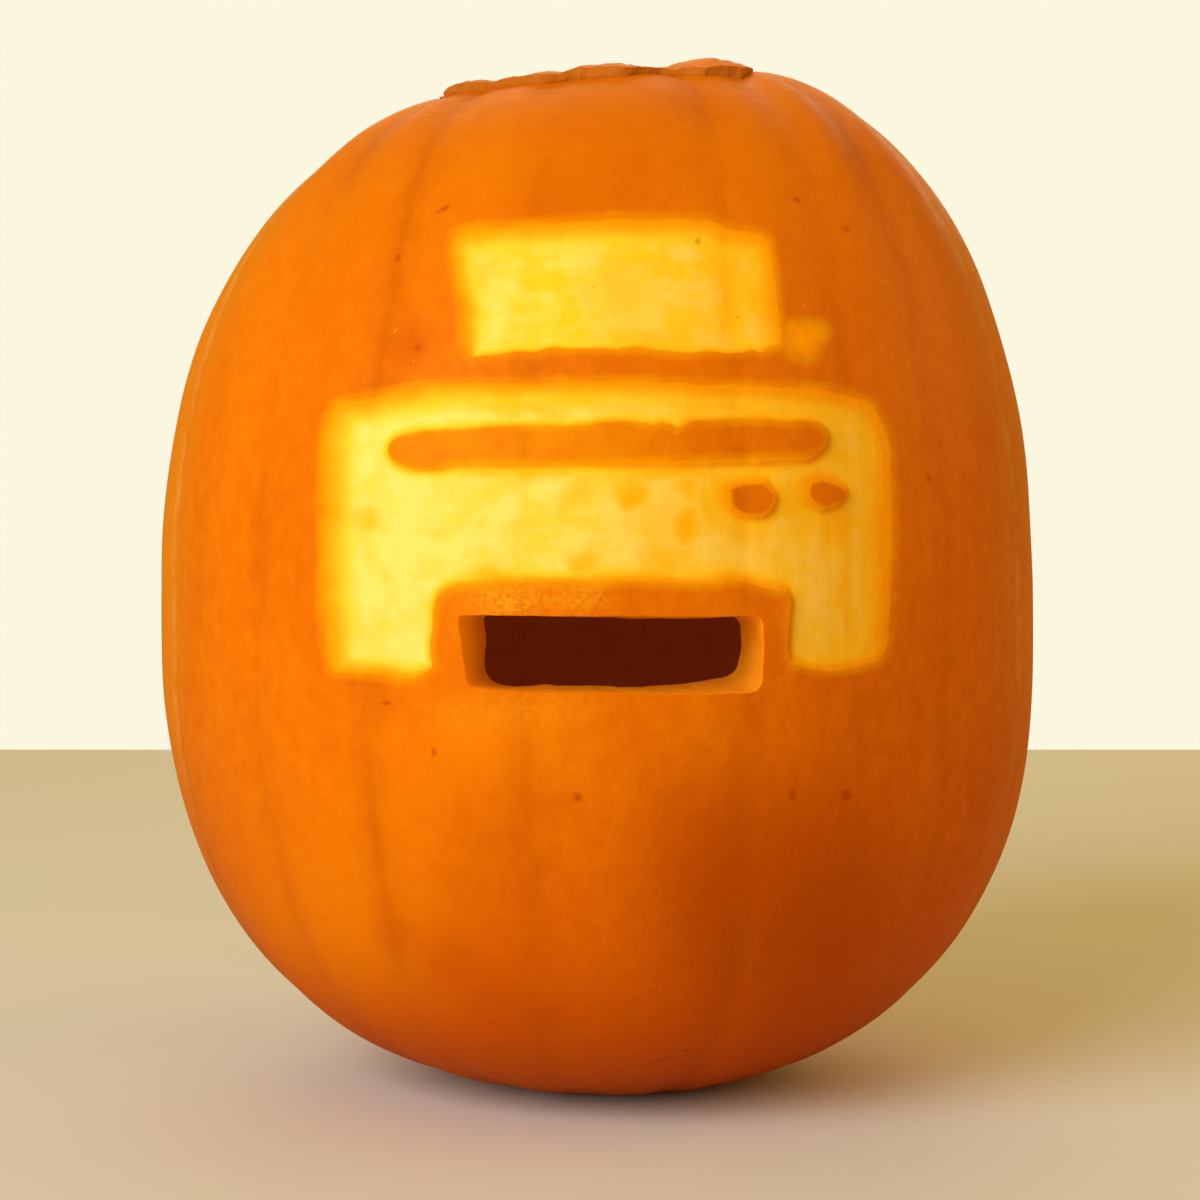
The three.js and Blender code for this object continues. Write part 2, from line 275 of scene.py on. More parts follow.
def ripple(across, along, seed, around=RIPPLE_CELLS):
    """Smooth values from -1 to 1. The table repeats after 'around' cells across."""
    table = np.random.default_rng(seed).uniform(-1, 1, (around, RIPPLE_CELLS))
    across, along = np.broadcast_arrays(across, along)
    column, row = np.floor(across).astype(int), np.floor(along).astype(int)
    right, up = across - column, along - row
    right = right * right * (3 - 2 * right)
    up = up * up * (3 - 2 * up)
    here, there = column % around, (column + 1) % around
    low, high = row % RIPPLE_CELLS, (row + 1) % RIPPLE_CELLS
    bottom = table[here, low] * (1 - right) + table[there, low] * right
    top = table[here, high] * (1 - right) + table[there, high] * right
    return bottom * (1 - up) + top * up


print("ripple:", ripple(np.linspace(0, 3, 4), 0.5, seed=1).round(2))

# %% [markdown]
# ## The lines of the carving
#
# The figure was scraped freehand, so its edges differ. Where the knife stood upright the
# edge is crisp, and where the scraper ran out the flesh rises to the skin over several
# millimetres. Each corner of an outline therefore has three numbers: its place to the
# right, its height, and the width of the slope there.

# %% Outlines as (right, height, slope width), in millimetres
SHEET = [
    (-33.4, 209.6, 1.2), (-32.6, 208.8, 0.9), (-29.8, 209.0, 0.8), (-26.7, 209.3, 0.8),
    (-22.7, 210.1, 0.8), (-19.3, 210.3, 0.8), (-16.5, 210.1, 0.8), (-13.2, 210.7, 0.8),
    (-12.1, 211.1, 0.8), (-6.3, 211.1, 0.8), (0.0, 211.3, 0.8), (5.6, 211.1, 0.8),
    (10.0, 211.6, 0.8), (15.3, 210.8, 0.8), (20.3, 210.1, 0.8), (24.2, 210.1, 0.8),
    (28.1, 210.5, 0.8), (31.9, 210.1, 0.8), (36.8, 210.1, 0.8), (40.0, 210.8, 0.8),
    (42.0, 210.2, 0.8), (44.9, 211.6, 1.2), (47.3, 212.1, 2.0), (46.9, 219.6, 3.0),
    (46.5, 225.8, 3.0), (45.8, 232.3, 3.0), (44.9, 238.6, 4.0), (43.4, 241.2, 4.5),
    (38.4, 242.2, 4.5), (34.0, 242.9, 4.5), (30.8, 244.5, 4.0), (23.0, 244.9, 4.0),
    (11.1, 245.0, 4.0), (0.8, 244.8, 4.0), (-9.5, 244.1, 4.0), (-22.2, 243.1, 4.0),
    (-32.9, 242.5, 4.0), (-36.8, 241.2, 4.5), (-37.8, 239.1, 4.5), (-37.6, 233.6, 3.5),
    (-36.5, 228.9, 3.5), (-35.3, 224.7, 3.5), (-34.4, 219.8, 3.5), (-34.0, 214.7, 3.0),
]
PRINTER_BODY = [
    (-68.1, 127.7, 3.0), (-70.5, 132.0, 5.0), (-71.2, 146.3, 5.5), (-71.2, 161.8, 5.5),
    (-71.3, 177.3, 5.5), (-70.9, 187.6, 5.5), (-69.6, 194.1, 5.5), (-66.6, 197.4, 5.0),
    (-59.6, 198.9, 5.0), (-51.5, 200.4, 4.5), (-41.4, 202.2, 4.0), (-31.5, 202.9, 3.5),
    (-21.8, 202.7, 3.5), (-9.3, 202.8, 3.5), (5.4, 203.0, 3.5), (20.2, 202.8, 3.5),
    (39.9, 202.0, 3.5), (49.8, 201.5, 3.5), (60.1, 200.7, 4.0), (67.7, 198.7, 4.5),
    (72.4, 196.1, 4.5), (75.4, 191.7, 5.0), (76.7, 184.9, 5.0), (77.2, 171.9, 5.5),
    (77.1, 156.4, 5.5), (76.7, 143.4, 5.0), (75.8, 134.3, 4.0), (73.6, 130.8, 3.0),
    (70.0, 129.4, 2.5), (65.1, 128.7, 2.0), (57.3, 128.4, 2.0), (53.4, 129.5, 2.0),
    (49.7, 130.8, 2.0), (48.9, 133.1, 1.5), (49.0, 139.5, 1.0), (49.4, 144.1, 1.0),
    (49.5, 147.1, 1.5), (48.3, 148.9, 2.0), (46.2, 149.5, 2.5), (42.8, 150.0, 2.5),
    (39.5, 151.0, 2.5), (36.4, 152.0, 2.5), (32.8, 152.1, 2.5), (30.2, 151.4, 2.5),
    (23.6, 151.7, 2.0), (16.0, 152.3, 2.0), (8.4, 152.4, 2.0), (2.3, 152.1, 2.0),
    (-3.0, 152.1, 1.8), (-9.3, 152.1, 1.8), (-19.4, 151.7, 2.0), (-29.6, 151.3, 2.0),
    (-35.8, 150.5, 1.8), (-38.9, 149.2, 1.5), (-40.9, 146.8, 1.2), (-41.7, 143.5, 1.0),
    (-41.9, 139.7, 1.0), (-42.5, 136.6, 0.8), (-42.3, 133.3, 0.8), (-42.0, 130.0, 1.0),
    (-44.4, 127.8, 2.0), (-47.0, 126.7, 2.2), (-51.7, 127.0, 2.5), (-57.0, 127.6, 2.5),
    (-63.2, 127.5, 3.0),
]
BAR = [
    (-53.5, 185.3, 1.6), (-53.3, 186.8, 1.1), (-51.7, 188.1, 1.1), (-48.0, 189.2, 1.1),
    (-44.9, 189.8, 1.1), (-35.3, 190.3, 1.1), (-27.1, 190.9, 1.1), (-14.4, 191.2, 1.1),
    (-1.2, 191.5, 1.1), (0.8, 192.0, 1.1), (8.7, 192.4, 1.1), (12.2, 192.0, 1.1),
    (14.7, 191.5, 1.0), (16.5, 192.0, 1.1), (18.3, 191.7, 1.0), (20.6, 190.8, 0.8),
    (22.1, 191.3, 1.0), (23.6, 192.5, 1.1), (27.5, 192.8, 1.1), (37.7, 193.0, 1.1),
    (43.4, 193.1, 1.1), (47.9, 192.5, 1.1), (56.6, 192.1, 1.2), (58.4, 191.1, 1.2),
    (59.4, 189.6, 1.2), (59.5, 187.5, 1.2), (58.9, 186.2, 1.2), (56.8, 184.7, 1.8),
    (54.1, 183.7, 2.2), (49.4, 183.7, 2.5), (35.1, 183.3, 2.2), (17.2, 183.2, 2.2),
    (0.8, 183.1, 1.8), (-14.4, 182.8, 1.6), (-29.1, 182.7, 1.6), (-38.1, 182.4, 1.6),
    (-41.0, 181.6, 1.4), (-44.1, 181.4, 1.4), (-47.7, 181.5, 1.6), (-50.9, 182.5, 1.6),
    (-52.7, 183.8, 1.6),
]
LEFT_BUTTON = [
    (34.4, 175.6, 3.0), (36.7, 176.3, 3.0), (39.7, 176.5, 3.0), (42.8, 176.2, 3.0),
    (43.7, 175.1, 2.8), (45.0, 173.4, 2.8), (44.1, 170.9, 2.7), (42.5, 169.9, 2.5),
    (39.7, 169.6, 2.3), (37.2, 170.0, 2.3), (35.4, 171.5, 2.5), (34.6, 173.6, 2.8),
]
RIGHT_BUTTON = [
    (54.6, 174.9, 2.7), (55.4, 176.4, 2.9), (57.9, 177.0, 3.2), (60.4, 176.3, 2.9),
    (62.4, 175.4, 2.7), (63.9, 174.0, 2.5), (62.6, 172.3, 2.3), (60.4, 171.3, 2.2),
    (58.8, 170.9, 2.2), (56.8, 171.8, 2.2), (55.4, 172.7, 2.2), (54.7, 173.8, 2.5),
]
PEELED_PATCH = [
    (49.4, 217.2, 3.0), (53.2, 218.0, 3.0), (58.8, 217.0, 3.0), (59.2, 215.0, 2.4),
    (57.7, 212.1, 2.4), (56.9, 209.6, 2.0), (56.1, 208.2, 1.6), (53.8, 208.2, 1.6),
    (51.5, 209.1, 2.0), (49.5, 210.1, 2.8), (48.8, 213.5, 3.0),
]
print("corners:", len(SHEET), len(PRINTER_BODY), len(BAR))

# %% [markdown]
# A curve through the corners takes the stiffness out of them. Its direction at a corner
# is that from the corner before to the one after, which is what a Catmull-Rom curve does.
# Dividing by the lengths keeps it from overshooting beside short edges.


# %% Smooth the outlines
OUTLINE_STEP = 1.2


def smooth_outline(corners, step=OUTLINE_STEP):
    """A closed smooth curve through the corners, as closely spaced points."""
    points = np.array(corners, float)
    lengths = np.linalg.norm((np.roll(points, -1, 0) - points)[:, :2], axis=1)
    span = (lengths + np.roll(lengths, 1))[:, None]
    slope = (np.roll(points, -1, 0) - np.roll(points, 1, 0)) / span
    made = []
    for i, length in enumerate(lengths):
        after = (i + 1) % len(points)
        t = np.arange(max(1, round(length / step)))[:, None]
        t = t / len(t)
        start = (2 * t**3 - 3 * t**2 + 1) * points[i] + (3 * t**2 - 2 * t**3) * points[after]
        bend = (t**3 - 2 * t**2 + t) * slope[i] + (t**3 - t**2) * slope[after]
        made.append(start + bend * length)
    return np.concatenate(made)


areas = [smooth_outline(corners) for corners in (SHEET, PRINTER_BODY)]
islands = [smooth_outline(corners) for corners in (BAR, LEFT_BUTTON, RIGHT_BUTTON)]
patch = smooth_outline(PEELED_PATCH)
print("points on the outlines:", sum(len(line) for line in areas + islands))

# %% [markdown]
# ## How deep the scraper went
#
# For each point of the skin, the distance to every edge is counted in that edge's own
# slope width. The smallest of these says how far down the slope the point is: 0 on the
# skin, 1 on the floor of the scraped field. A Boolean cut could do the crisp edges, but
# not the soft ones, so the relief is a height field over the skin instead.
#
# Light soaks into flesh and comes out a little further on, so the colour changes over a
# wider band than the relief. A second number, the layer, is the depth whose colour shows
# at a point, and it rises more slowly away from the edge.

# %% Measure the depth under the skin
RECESS_DEPTH = 1.9
PEEL_DEPTH = 0.6
FLOOR_ROLL = 0.18  # how far the scraped floor rolls up and down
FLOOR_ROLL_SIZE = 9
EDGE_WANDER = 0.2  # how far a cut edge wanders from its line
EDGE_WANDER_SIZE = 2.6
FLESH_LAYER = 2.6  # from this layer on the flesh shows its own yellow
DEEPEST = 1.6  # and it is palest where the distance is this many bands
PEELED_LAYER = 0.42
BAND_WIDTH = 1.2  # the band of colour at the sharpest edge
BAND_GROWTH = 1.0  # and how much wider it is for each millimetre of slope
# The skin beside bare flesh is painted lighter, as a glow of the light that comes out of the
# flesh.
GLOW_REACH = 2.6  # how far the flesh lightens the skin beside it
THIN_SKIN = 1.1  # on the bar the scraper thinned the skin, so it glows all over
THIN_SKIN_ENDS = (0, 46)  # and less so between these places to the right
FAR = 1e3
CHUNK = 4000  # so many points at a time, to save memory
CARVED_MIDDLE = 3  # the carving lies round this place to the right
CARVED_HALF_WIDTH = 82
CARVED_HEIGHTS = (118, 254)


def edge_shares(x, z, outline):
    """Distance to an outline in slope widths, in colour bands and in mm, and inside."""
    start, end = outline, np.roll(outline, -1, 0)
    edge = end - start
    squared = (edge[:, :2] ** 2).sum(1)
    share, band, nearest = [np.full(x.shape, FAR) for _ in range(3)]
    inside = np.zeros(x.shape, bool)
    for first in range(0, len(x), CHUNK):
        part = slice(first, first + CHUNK)
        right, up = x[part, None] - start[:, 0], z[part, None] - start[:, 1]
        along = np.clip((right * edge[:, 0] + up * edge[:, 1]) / squared, 0, 1)
        distance = np.hypot(right - along * edge[:, 0], up - along * edge[:, 1])
        slope = start[:, 2] + along * edge[:, 2]
        share[part] = (distance / slope).min(1)
        band[part] = (distance / (BAND_WIDTH + BAND_GROWTH * slope)).min(1)
        nearest[part] = distance.min(1)
        crosses = (start[:, 1] > z[part, None]) != (end[:, 1] > z[part, None])
        with np.errstate(divide="ignore", invalid="ignore"):
            reach = start[:, 0] + edge[:, 0] * up / edge[:, 1]
        inside[part] = (crosses & (x[part, None] < reach)).sum(1) % 2 == 1
    return share, band, nearest, inside


def near_carving(points):
    """Which points are on the front, within reach of the carving."""
    x, y, z = points.T
    low, high = CARVED_HEIGHTS
    beside = np.abs(x - CARVED_MIDDLE)
    return (y < 0) & (beside < CARVED_HALF_WIDTH) & (z > low) & (z < high)


def carving(points):
    """Depth under the skin, the layer whose colour shows, and distance to an edge."""
    depth, layer, nearest = [np.zeros(len(points)) for _ in range(3)]
    layer[:], nearest[:] = -GLOW_REACH, FAR
    front = near_carving(points)
    x, z = points[front, 0], points[front, 2]
    size = EDGE_WANDER_SIZE
    wander = [EDGE_WANDER * ripple(x / size, z / size, seed) for seed in (11, 12)]
    x, z = x + wander[0], z + wander[1]
    down, colour, closest = np.zeros(len(x)), np.zeros(len(x)), np.full(len(x), FAR)
    for outline in areas:
        share, band, distance, inside = edge_shares(x, z, outline)
        down = np.where(inside, share, down)
        colour = np.where(inside, band, colour)
        closest = np.minimum(closest, distance)
    for outline in islands:
        share, band, distance, inside = edge_shares(x, z, outline)
        down = np.where(inside, 0, np.minimum(down, share))
        colour = np.where(inside, 0, np.minimum(colour, band))
        closest = np.minimum(closest, distance)
    roll = ripple(x / FLOOR_ROLL_SIZE, z / FLOOR_ROLL_SIZE * 0.7, seed=13)
    floor = RECESS_DEPTH + FLOOR_ROLL * roll
    scraped = floor * smoothstep(down, 0, 1)
    share, band, distance, inside = edge_shares(x, z, patch)
    peeled = PEEL_DEPTH * smoothstep(np.where(inside, share, 0), 0, 1)
    depth[front] = np.maximum(scraped, peeled)
    nearest[front] = np.minimum(closest, distance)
    colour = np.clip(colour, 0, DEEPEST) * FLESH_LAYER
    peeled_colour = np.where(inside, np.clip(band, 0, 1) * PEELED_LAYER, 0)
    colour = np.maximum(colour, peeled_colour)
    beside = -np.minimum(nearest[front], GLOW_REACH)
    on_bar, *on_button = [edge_shares(x, z, outline)[3] for outline in islands]
    thinned = -THIN_SKIN - (GLOW_REACH - THIN_SKIN) * smoothstep(x, *THIN_SKIN_ENDS)
    beside = np.where(on_bar, np.maximum(beside, thinned), beside)
    beside = np.where(np.any(on_button, 0), -2 * THIN_SKIN, beside)
    layer[front] = np.where(colour > 0, colour, beside)
    return depth, layer, nearest


test_place = np.array([[0, -1, 165], [0, -1, 187], [0, -1, 230.0]])
print("depth in the field, on the bar, in the sheet:", carving(test_place)[0].round(2))

# %% [markdown]
# ## Small squares only where the knife went
#
# Half-millimetre squares all over the fruit would make millions of faces. The mesh starts
# with squares of about four millimetres, and a square near an outline is split into four,
# up to three times. A face next to smaller ones takes their corners into its own outline,
# so that the surface stays closed.

# %% Lay out the squares
COARSE_SQUARE = 3.8
FINEST = 8  # the smallest squares along one side of a coarse one
SQUARE_AT_EDGE = 0.45
SQUARE_GROWTH = 0.35  # for each millimetre away from an edge
SQUARE_REACH = 0.7  # from its middle a square reaches so many sides far
EDGE_MARGIN = 1.0
FIELD_SQUARE = 1.0  # the scraped fields need small squares for their soft spots
LAST_CLIMB = 87
PROFILE_STEPS = 2000


def column_azimuths():
    """Columns of squares, with one line of the grid along each groove."""
    ends = np.append(groove_azimuths, groove_azimuths[0] + TURN)
    columns = []
    for start, end in zip(ends[:-1], ends[1:]):
        count = max(2, round((end - start) * EQUATOR_RADIUS / COARSE_SQUARE))
        columns.extend(np.linspace(start, end, count, endpoint=False))
    return np.append(columns, ends[-1])


def row_climbs():
    """Rows of squares, evenly spaced along the side view."""
    climbs = np.radians(np.linspace(-LAST_CLIMB, LAST_CLIMB, PROFILE_STEPS))
    line = fruit_points(np.full(PROFILE_STEPS, 0.2), climbs, ribbed=False)
    length = np.linalg.norm(np.diff(line, axis=0), axis=1)
    along = np.append(0, np.cumsum(length))
    rows = np.linspace(0, along[-1], round(along[-1] / COARSE_SQUARE) + 1)
    return np.interp(rows, along, climbs), rows


column_lines = column_azimuths()
row_lines, row_lengths = row_climbs()
columns_round = (len(column_lines) - 1) * FINEST


def grid_place(u, v):
    """Azimuth, climb and way up the side for a place in the grid."""
    azimuth = np.interp(u / FINEST, np.arange(len(column_lines)), column_lines)
    climb = np.interp(v / FINEST, np.arange(len(row_lines)), row_lines)
    along = np.interp(v / FINEST, np.arange(len(row_lines)), row_lengths)
    return azimuth, climb, along


print("coarse squares:", len(column_lines) - 1, "by", len(row_lines) - 1)

# %% [markdown]
# A square is wanted smaller the nearer it lies to an outline, and small all over a scraped
# field. Splitting goes on round by round, so each round only looks at the squares that
# the one before has split.


# %% Split the squares near the carving
def split_squares():
    """Every square as (column, row, side), small near the outlines."""
    u, v = np.meshgrid(
        np.arange(len(column_lines) - 1) * FINEST,
        np.arange(len(row_lines) - 1) * FINEST,
    )
    squares = np.stack([u.ravel(), v.ravel()], 1)
    kept = []
    side = FINEST
    while side > 1:
        middle = squares + side / 2
        azimuth, climb, _ = grid_place(middle[:, 0], middle[:, 1])
        _, layer, nearest = carving(fruit_points(azimuth, climb))
        size = COARSE_SQUARE * side / FINEST
        away = np.maximum(nearest - SQUARE_REACH * size - EDGE_MARGIN, 0)
        wanted = SQUARE_AT_EDGE + SQUARE_GROWTH * away
        wanted = np.where(layer > 0, np.minimum(wanted, FIELD_SQUARE), wanted)
        split = wanted < size
        kept.append(np.column_stack([squares[~split], np.full((~split).sum(), side)]))
        side //= 2
        corner = squares[split]
        squares = np.concatenate(
            [corner + np.array(step) * side for step in ((0, 0), (1, 0), (1, 1), (0, 1))]
        )
    kept.append(np.column_stack([squares, np.full(len(squares), side)]))
    return np.concatenate(kept)


def square_faces(squares):
    """The corners of all squares, and each face with its neighbours' corners in it."""

    def key(u, v):
        return v * columns_round + u % columns_round

    corners = set()
    for u, v, side in squares.tolist():
        corners.update((key(u, v), key(u + side, v)))
        corners.update((key(u + side, v + side), key(u, v + side)))
    faces = []
    for u, v, side in squares.tolist():
        steps = range(side)
        ring = [key(u + k, v) for k in steps]
        ring += [key(u + side, v + k) for k in steps]
        ring += [key(u + side - k, v + side) for k in steps]
        ring += [key(u, v + side - k) for k in steps]
        faces.append([place for place in ring if place in corners])
    top = (len(row_lines) - 1) * FINEST
    for row, step in ((0, -1), (top, 1)):
        ring = [key(u, row) for u in range(columns_round)][::step]
        faces.append([place for place in ring if place in corners])
    order = sorted(corners)
    number = {place: i for i, place in enumerate(order)}
    return np.array(order), [[number[place] for place in face] for face in faces]


places, skin_faces = square_faces(split_squares())
print("corners:", len(places), "faces:", len(skin_faces))

# %% [markdown]
# ## A mesh that remembers what it was
#
# The colours later depend on the layer of the rind that shows at a point, on the groove
# beside it, and on its place along its rib. These are stored in the mesh as attributes.
# They are kept per face corner, because a Boolean cut works out new corner values along
# the cut, where it would leave values per vertex at zero.

# %% Make a mesh with its attributes
SKIN, SCOOPED, SLOT_WALL, HOLE_WALL = range(4)


def store(piece, label, values):
    """Stores a number, or three, for each corner of each face."""
    mesh = piece.data
    corners = np.empty(len(mesh.loops), int)
    mesh.loops.foreach_get("vertex_index", corners)
    values = np.asarray(values, float)
    if values.ndim == 2:
        made = mesh.attributes.new(label, "FLOAT_VECTOR", "CORNER")
        made.data.foreach_set("vector", values[corners].ravel())
    else:
        made = mesh.attributes.new(label, "FLOAT", "CORNER")
        values = np.broadcast_to(values, len(mesh.vertices))
        made.data.foreach_set("value", values[corners])


NO_GROOVE = 50  # a distance in mm from which no groove shows


def make_piece(name, points, faces, part, layer, rib_place, groove=NO_GROOVE, shows=0.0):
    """A mesh object in metres, with the attributes that the materials read."""
    mesh = bpy.data.meshes.new(name)
    mesh.from_pydata((points * MM).tolist(), [], faces)
    mesh.shade_smooth()
    piece = bpy.data.objects.new(name, mesh)
    bpy.context.scene.collection.objects.link(piece)
    store(piece, "layer", layer)
    store(piece, "rib_place", rib_place * MM)
    store(piece, "groove", groove)
    store(piece, "groove_shows", shows)
    made = mesh.attributes.new("part", "INT", "FACE")
    made.data.foreach_set("value", np.full(len(mesh.polygons), part))
    return piece


def place_on_rib(azimuth, along):
    """A place that runs round the fruit and up its ribs, without a seam."""
    round_it = EQUATOR_RADIUS * np.stack([np.cos(azimuth), np.sin(azimuth)], 1)
    return np.column_stack([round_it, along])


print("parts of the rind:", SKIN, SCOOPED, SLOT_WALL, HOLE_WALL)

# %% [markdown]
# ## Soft patches
#
# No fruit ripens evenly, and no scraper takes off an even layer. Broad patches make the
# skin brighter or deeper, partly as uneven ripeness and partly as painted light and painted
# shade, and smaller ones are bruises, painted glints of light and places where a little of
# the orange layer was left on the flesh. They are all soft, so it is enough to work out
# their strength for each corner of the mesh.

# %% Soft patches, as (right, height, half width, half height, turn, strength)
# These broad patches are partly the fruit's uneven ripeness and partly painted light and
# painted shade: brighter on the lit left and under the slot, deeper on the shaded right and
# near the top.
TONE_AND_LIGHT_PATCHES = [
    (-70, 60, 46, 42, 0, 0.75),
    (-50, 100, 35, 25, 0, 0.35),
    (-24, 113, 32, 18, 0, 0.6),
    (24, 78, 26, 46, 0, -0.45),
    (52, 71, 40, 47, 0, -0.8),
    (6, 254, 26, 30, 0, -0.4),
    (82, 165, 14, 30, 0, 0.4),
    (-84, 215, 26, 60, 0, 0.12),
]
BRUISES = [
    (-47.9, 212.6, 7, 8, 0, 1),
    (-38, 51, 13, 12, 0, 0.6),
    (-29, 42, 12, 9, 20, 0.45),
    (-14, 36, 9, 6, 10, 0.6),
    (-9, 95.5, 7, 4, 15, 0.5),
    (-12, 250, 14, 9, 0, 0.4),
    (66, 58, 10, 12, 0, 0.5),
    (-52, 58, 7, 9, -10, 0.5),
]
# painted highlights: soft glints of light on the frame above the slot and under it
PAINTED_GLINTS = [
    (-22, 148, 14, 6, 0, 1),
    (-5, 148, 11, 5, 0, 0.7),
    (-24, 119, 22, 7, 0, 0.4),
    (-8, 119.5, 9, 5, 0, 0.4),
]
OCHRE_SPOTS = [
    (-5.5, 174, 5, 5, 0, 0.3),
    (8.5, 175, 5, 6, 35, 0.8),
    (23, 167, 4.5, 5.5, 0, 0.85),
    (23, 176.5, 4, 4.5, 0, 0.6),
    (-3, 157.5, 4.5, 6, 15, 0.6),
    (17, 158, 8, 7, 0, 0.5),
    (15, 168, 17, 13, 0, 0.22),
    (-27, 153, 9, 4, 0, 0.5),
    (38, 166.5, 10, 7, 0, 0.45),
    (31, 174, 5, 9, 0, 0.6),
    (51, 173, 6, 9, 0, 0.5),
    (62, 167.5, 5, 10, -10, 0.95),
    (64, 150, 3, 16, 0, 0.5),
    (72, 160, 4, 14, 0, 0.35),
    (-60, 168, 6, 5, 0, 0.4),
    (-14, 197, 36, 3.5, 0, 0.4),
    (34, 196, 26, 3.5, 3, 0.45),
    (-20, 182, 26, 4.5, 1, 0.55),
    (20, 182.5, 34, 5, 1, 0.65),
    (34, 228, 5, 17, 0, 0.55),
    (6, 226, 14, 12, 0, 0.3),
    (12, 213.5, 12, 4.5, 0, 0.45),
    (42.5, 224, 3, 6, 0, 0.4),
    (-30, 230, 5, 8, 0, 0.3),
]


PATCH_EDGE = 1.3  # a patch fades out at so many half widths
PATCH_FRONT = 20  # in mm before the axis, from where on patches show fully
PATCH_WARP = 1.6
PATCH_WARP_SIZE = 4.5


def patches(points, rows, together=np.maximum):
    """How strongly soft patches on the front show at each point."""
    x, y, z = points.T
    total = np.zeros(len(points))
    for right, height, half_width, half_height, turn, strength in rows:
        cosine, sine = math.cos(math.radians(turn)), math.sin(math.radians(turn))
        across = ((x - right) * cosine - (z - height) * sine) / half_width
        upward = ((x - right) * sine + (z - height) * cosine) / half_height
        away = np.hypot(across, upward)
        total = together(total, strength * (1 - smoothstep(away, 0, PATCH_EDGE)))
    return total * smoothstep(-y, 0, PATCH_FRONT)


def soft_marks(points):
    """The strengths of bruises, painted glints of light and ochre spots, which have uneven
    outlines.
    """
    right, height = points[:, 0] / PATCH_WARP_SIZE, points[:, 2] / PATCH_WARP_SIZE
    points = points.copy()
    points[:, 0] += PATCH_WARP * ripple(right, height, seed=81)
    points[:, 2] += PATCH_WARP * ripple(right, height, seed=82)
    return np.stack([patches(points, rows) for rows in (BRUISES, PAINTED_GLINTS, OCHRE_SPOTS)], 1)


print("soft patches:", len(TONE_AND_LIGHT_PATCHES) + len(BRUISES) + len(PAINTED_GLINTS) + len(OCHRE_SPOTS))

# %% [markdown]
# ## The skin
#
# Under the ribs the skin rolls a little, as any fruit's does. The reflections of the
# studio show it, although it is less than half a millimetre. The direction of the skin
# before the scraping is stored too, for the light that soaks through a slope.
#
# The sides of the fruit get a yellower painted reflection of the surroundings than the
# front, and the groove at each side has a pale, uneven painted highlight on its shoulder.
# Both are stored as numbers in the mesh, so that they stay where they are from whatever
# side somebody looks.

# %% Build the skin
SKIN_ROLL = 0.25
SKIN_ROLL_SIZE = 26
BROAD_ROLLS = 32  # so many cells of the ripple go round the fruit
NARROW_ROLLS = 64
SMALL_STEP = 0.004  # in radians, to feel which way the skin faces
# The sides get a painted reflection of the pale surroundings, from the first to the second
# share of the radius.
SIDE_REFLECTION_FROM = (0.84, 0.995)  # how far out to the side, as a share of the radius
# The groove at each side gets a painted highlight on its shoulder, between these angles.
SHOULDER_HIGHLIGHT_STARTS = (58, 64)  # degrees from the front
SHOULDER_HIGHLIGHT_ENDS = (76, 84)
SHOULDER_HIGHLIGHT_STRENGTH = 0.42


def skin_roll(azimuth, along):
    """The gentle unevenness of the skin, in millimetres."""
    turns, up = azimuth / TURN, along / SKIN_ROLL_SIZE
    broad = ripple(turns * BROAD_ROLLS, up, 21, BROAD_ROLLS)
    narrow = ripple(turns * NARROW_ROLLS, up * 1.7, 22, NARROW_ROLLS)
    return SKIN_ROLL * (broad + 0.4 * narrow)


def skin_direction(azimuth, climb):
    """Which way the skin faced before anything was scraped."""
    step = SMALL_STEP
    round_it = fruit_points(azimuth + step, climb) - fruit_points(azimuth - step, climb)
    up_it = fruit_points(azimuth, climb + step) - fruit_points(azimuth, climb - step)
    direction = np.cross(round_it, up_it)
    return direction / np.linalg.norm(direction, axis=1)[:, None]


def side_marks(azimuth, points):
    """How strongly the painted reflection shows on the sides, and where a groove's shoulder has
    a painted highlight.
    """
    x, y, height = points.T
    sideways = np.abs(x) / np.maximum(np.hypot(x, y), 1)
    side_reflection = smoothstep(sideways, *SIDE_REFLECTION_FROM) * (0.15 + 0.5 * smoothstep(height, 40, 160))
    side_reflection = side_reflection * (1 - 0.5 * smoothstep(height, 240, 285))
    turned = np.degrees(np.abs((azimuth + math.pi) % TURN - math.pi))
    pale = smoothstep(turned, *SHOULDER_HIGHLIGHT_STARTS)
    pale = pale * (1 - smoothstep(turned, *SHOULDER_HIGHLIGHT_ENDS))
    pale = pale * smoothstep(height, 60, 120) * (1 - smoothstep(height, 235, 270))
    return side_reflection, SHOULDER_HIGHLIGHT_STRENGTH * pale


def build_skin():
    """The whole fruit with its scraped fields."""
    azimuth, climb, along = grid_place(places % columns_round, places // columns_round)
    depth, layer, _ = carving(fruit_points(azimuth, climb))
    points = fruit_points(azimuth, climb, depth + skin_roll(azimuth, along))
    points[:, 2] = np.maximum(points[:, 2], 0)
    groove, shows = groove_line(azimuth, points)
    rib_place = place_on_rib(azimuth, along)
    rind = make_piece("rind", points, skin_faces, SKIN, layer, rib_place, groove, shows)
    side_reflection, shoulder_highlight = side_marks(azimuth, points)
    more = {
        "skin_direction": skin_direction(azimuth, climb),
        "soft_marks": soft_marks(points),
        "tone_and_light": patches(points, TONE_AND_LIGHT_PATCHES, np.add),
        "side_reflection": side_reflection,
        "shoulder_highlight": shoulder_highlight,
    }
    for label, values in more.items():
        store(rind, label, values)
    return rind


rind = build_skin()
print("skin:", len(rind.data.polygons), "faces")

# %% [markdown]
# ## The hollow
#
# A scraper leaves the inside of a lantern fairly even, with shallow furrows. The hollow is
# the same fruit, 20 mm smaller all round and without ribs, and a Boolean takes it out of
# the rind.

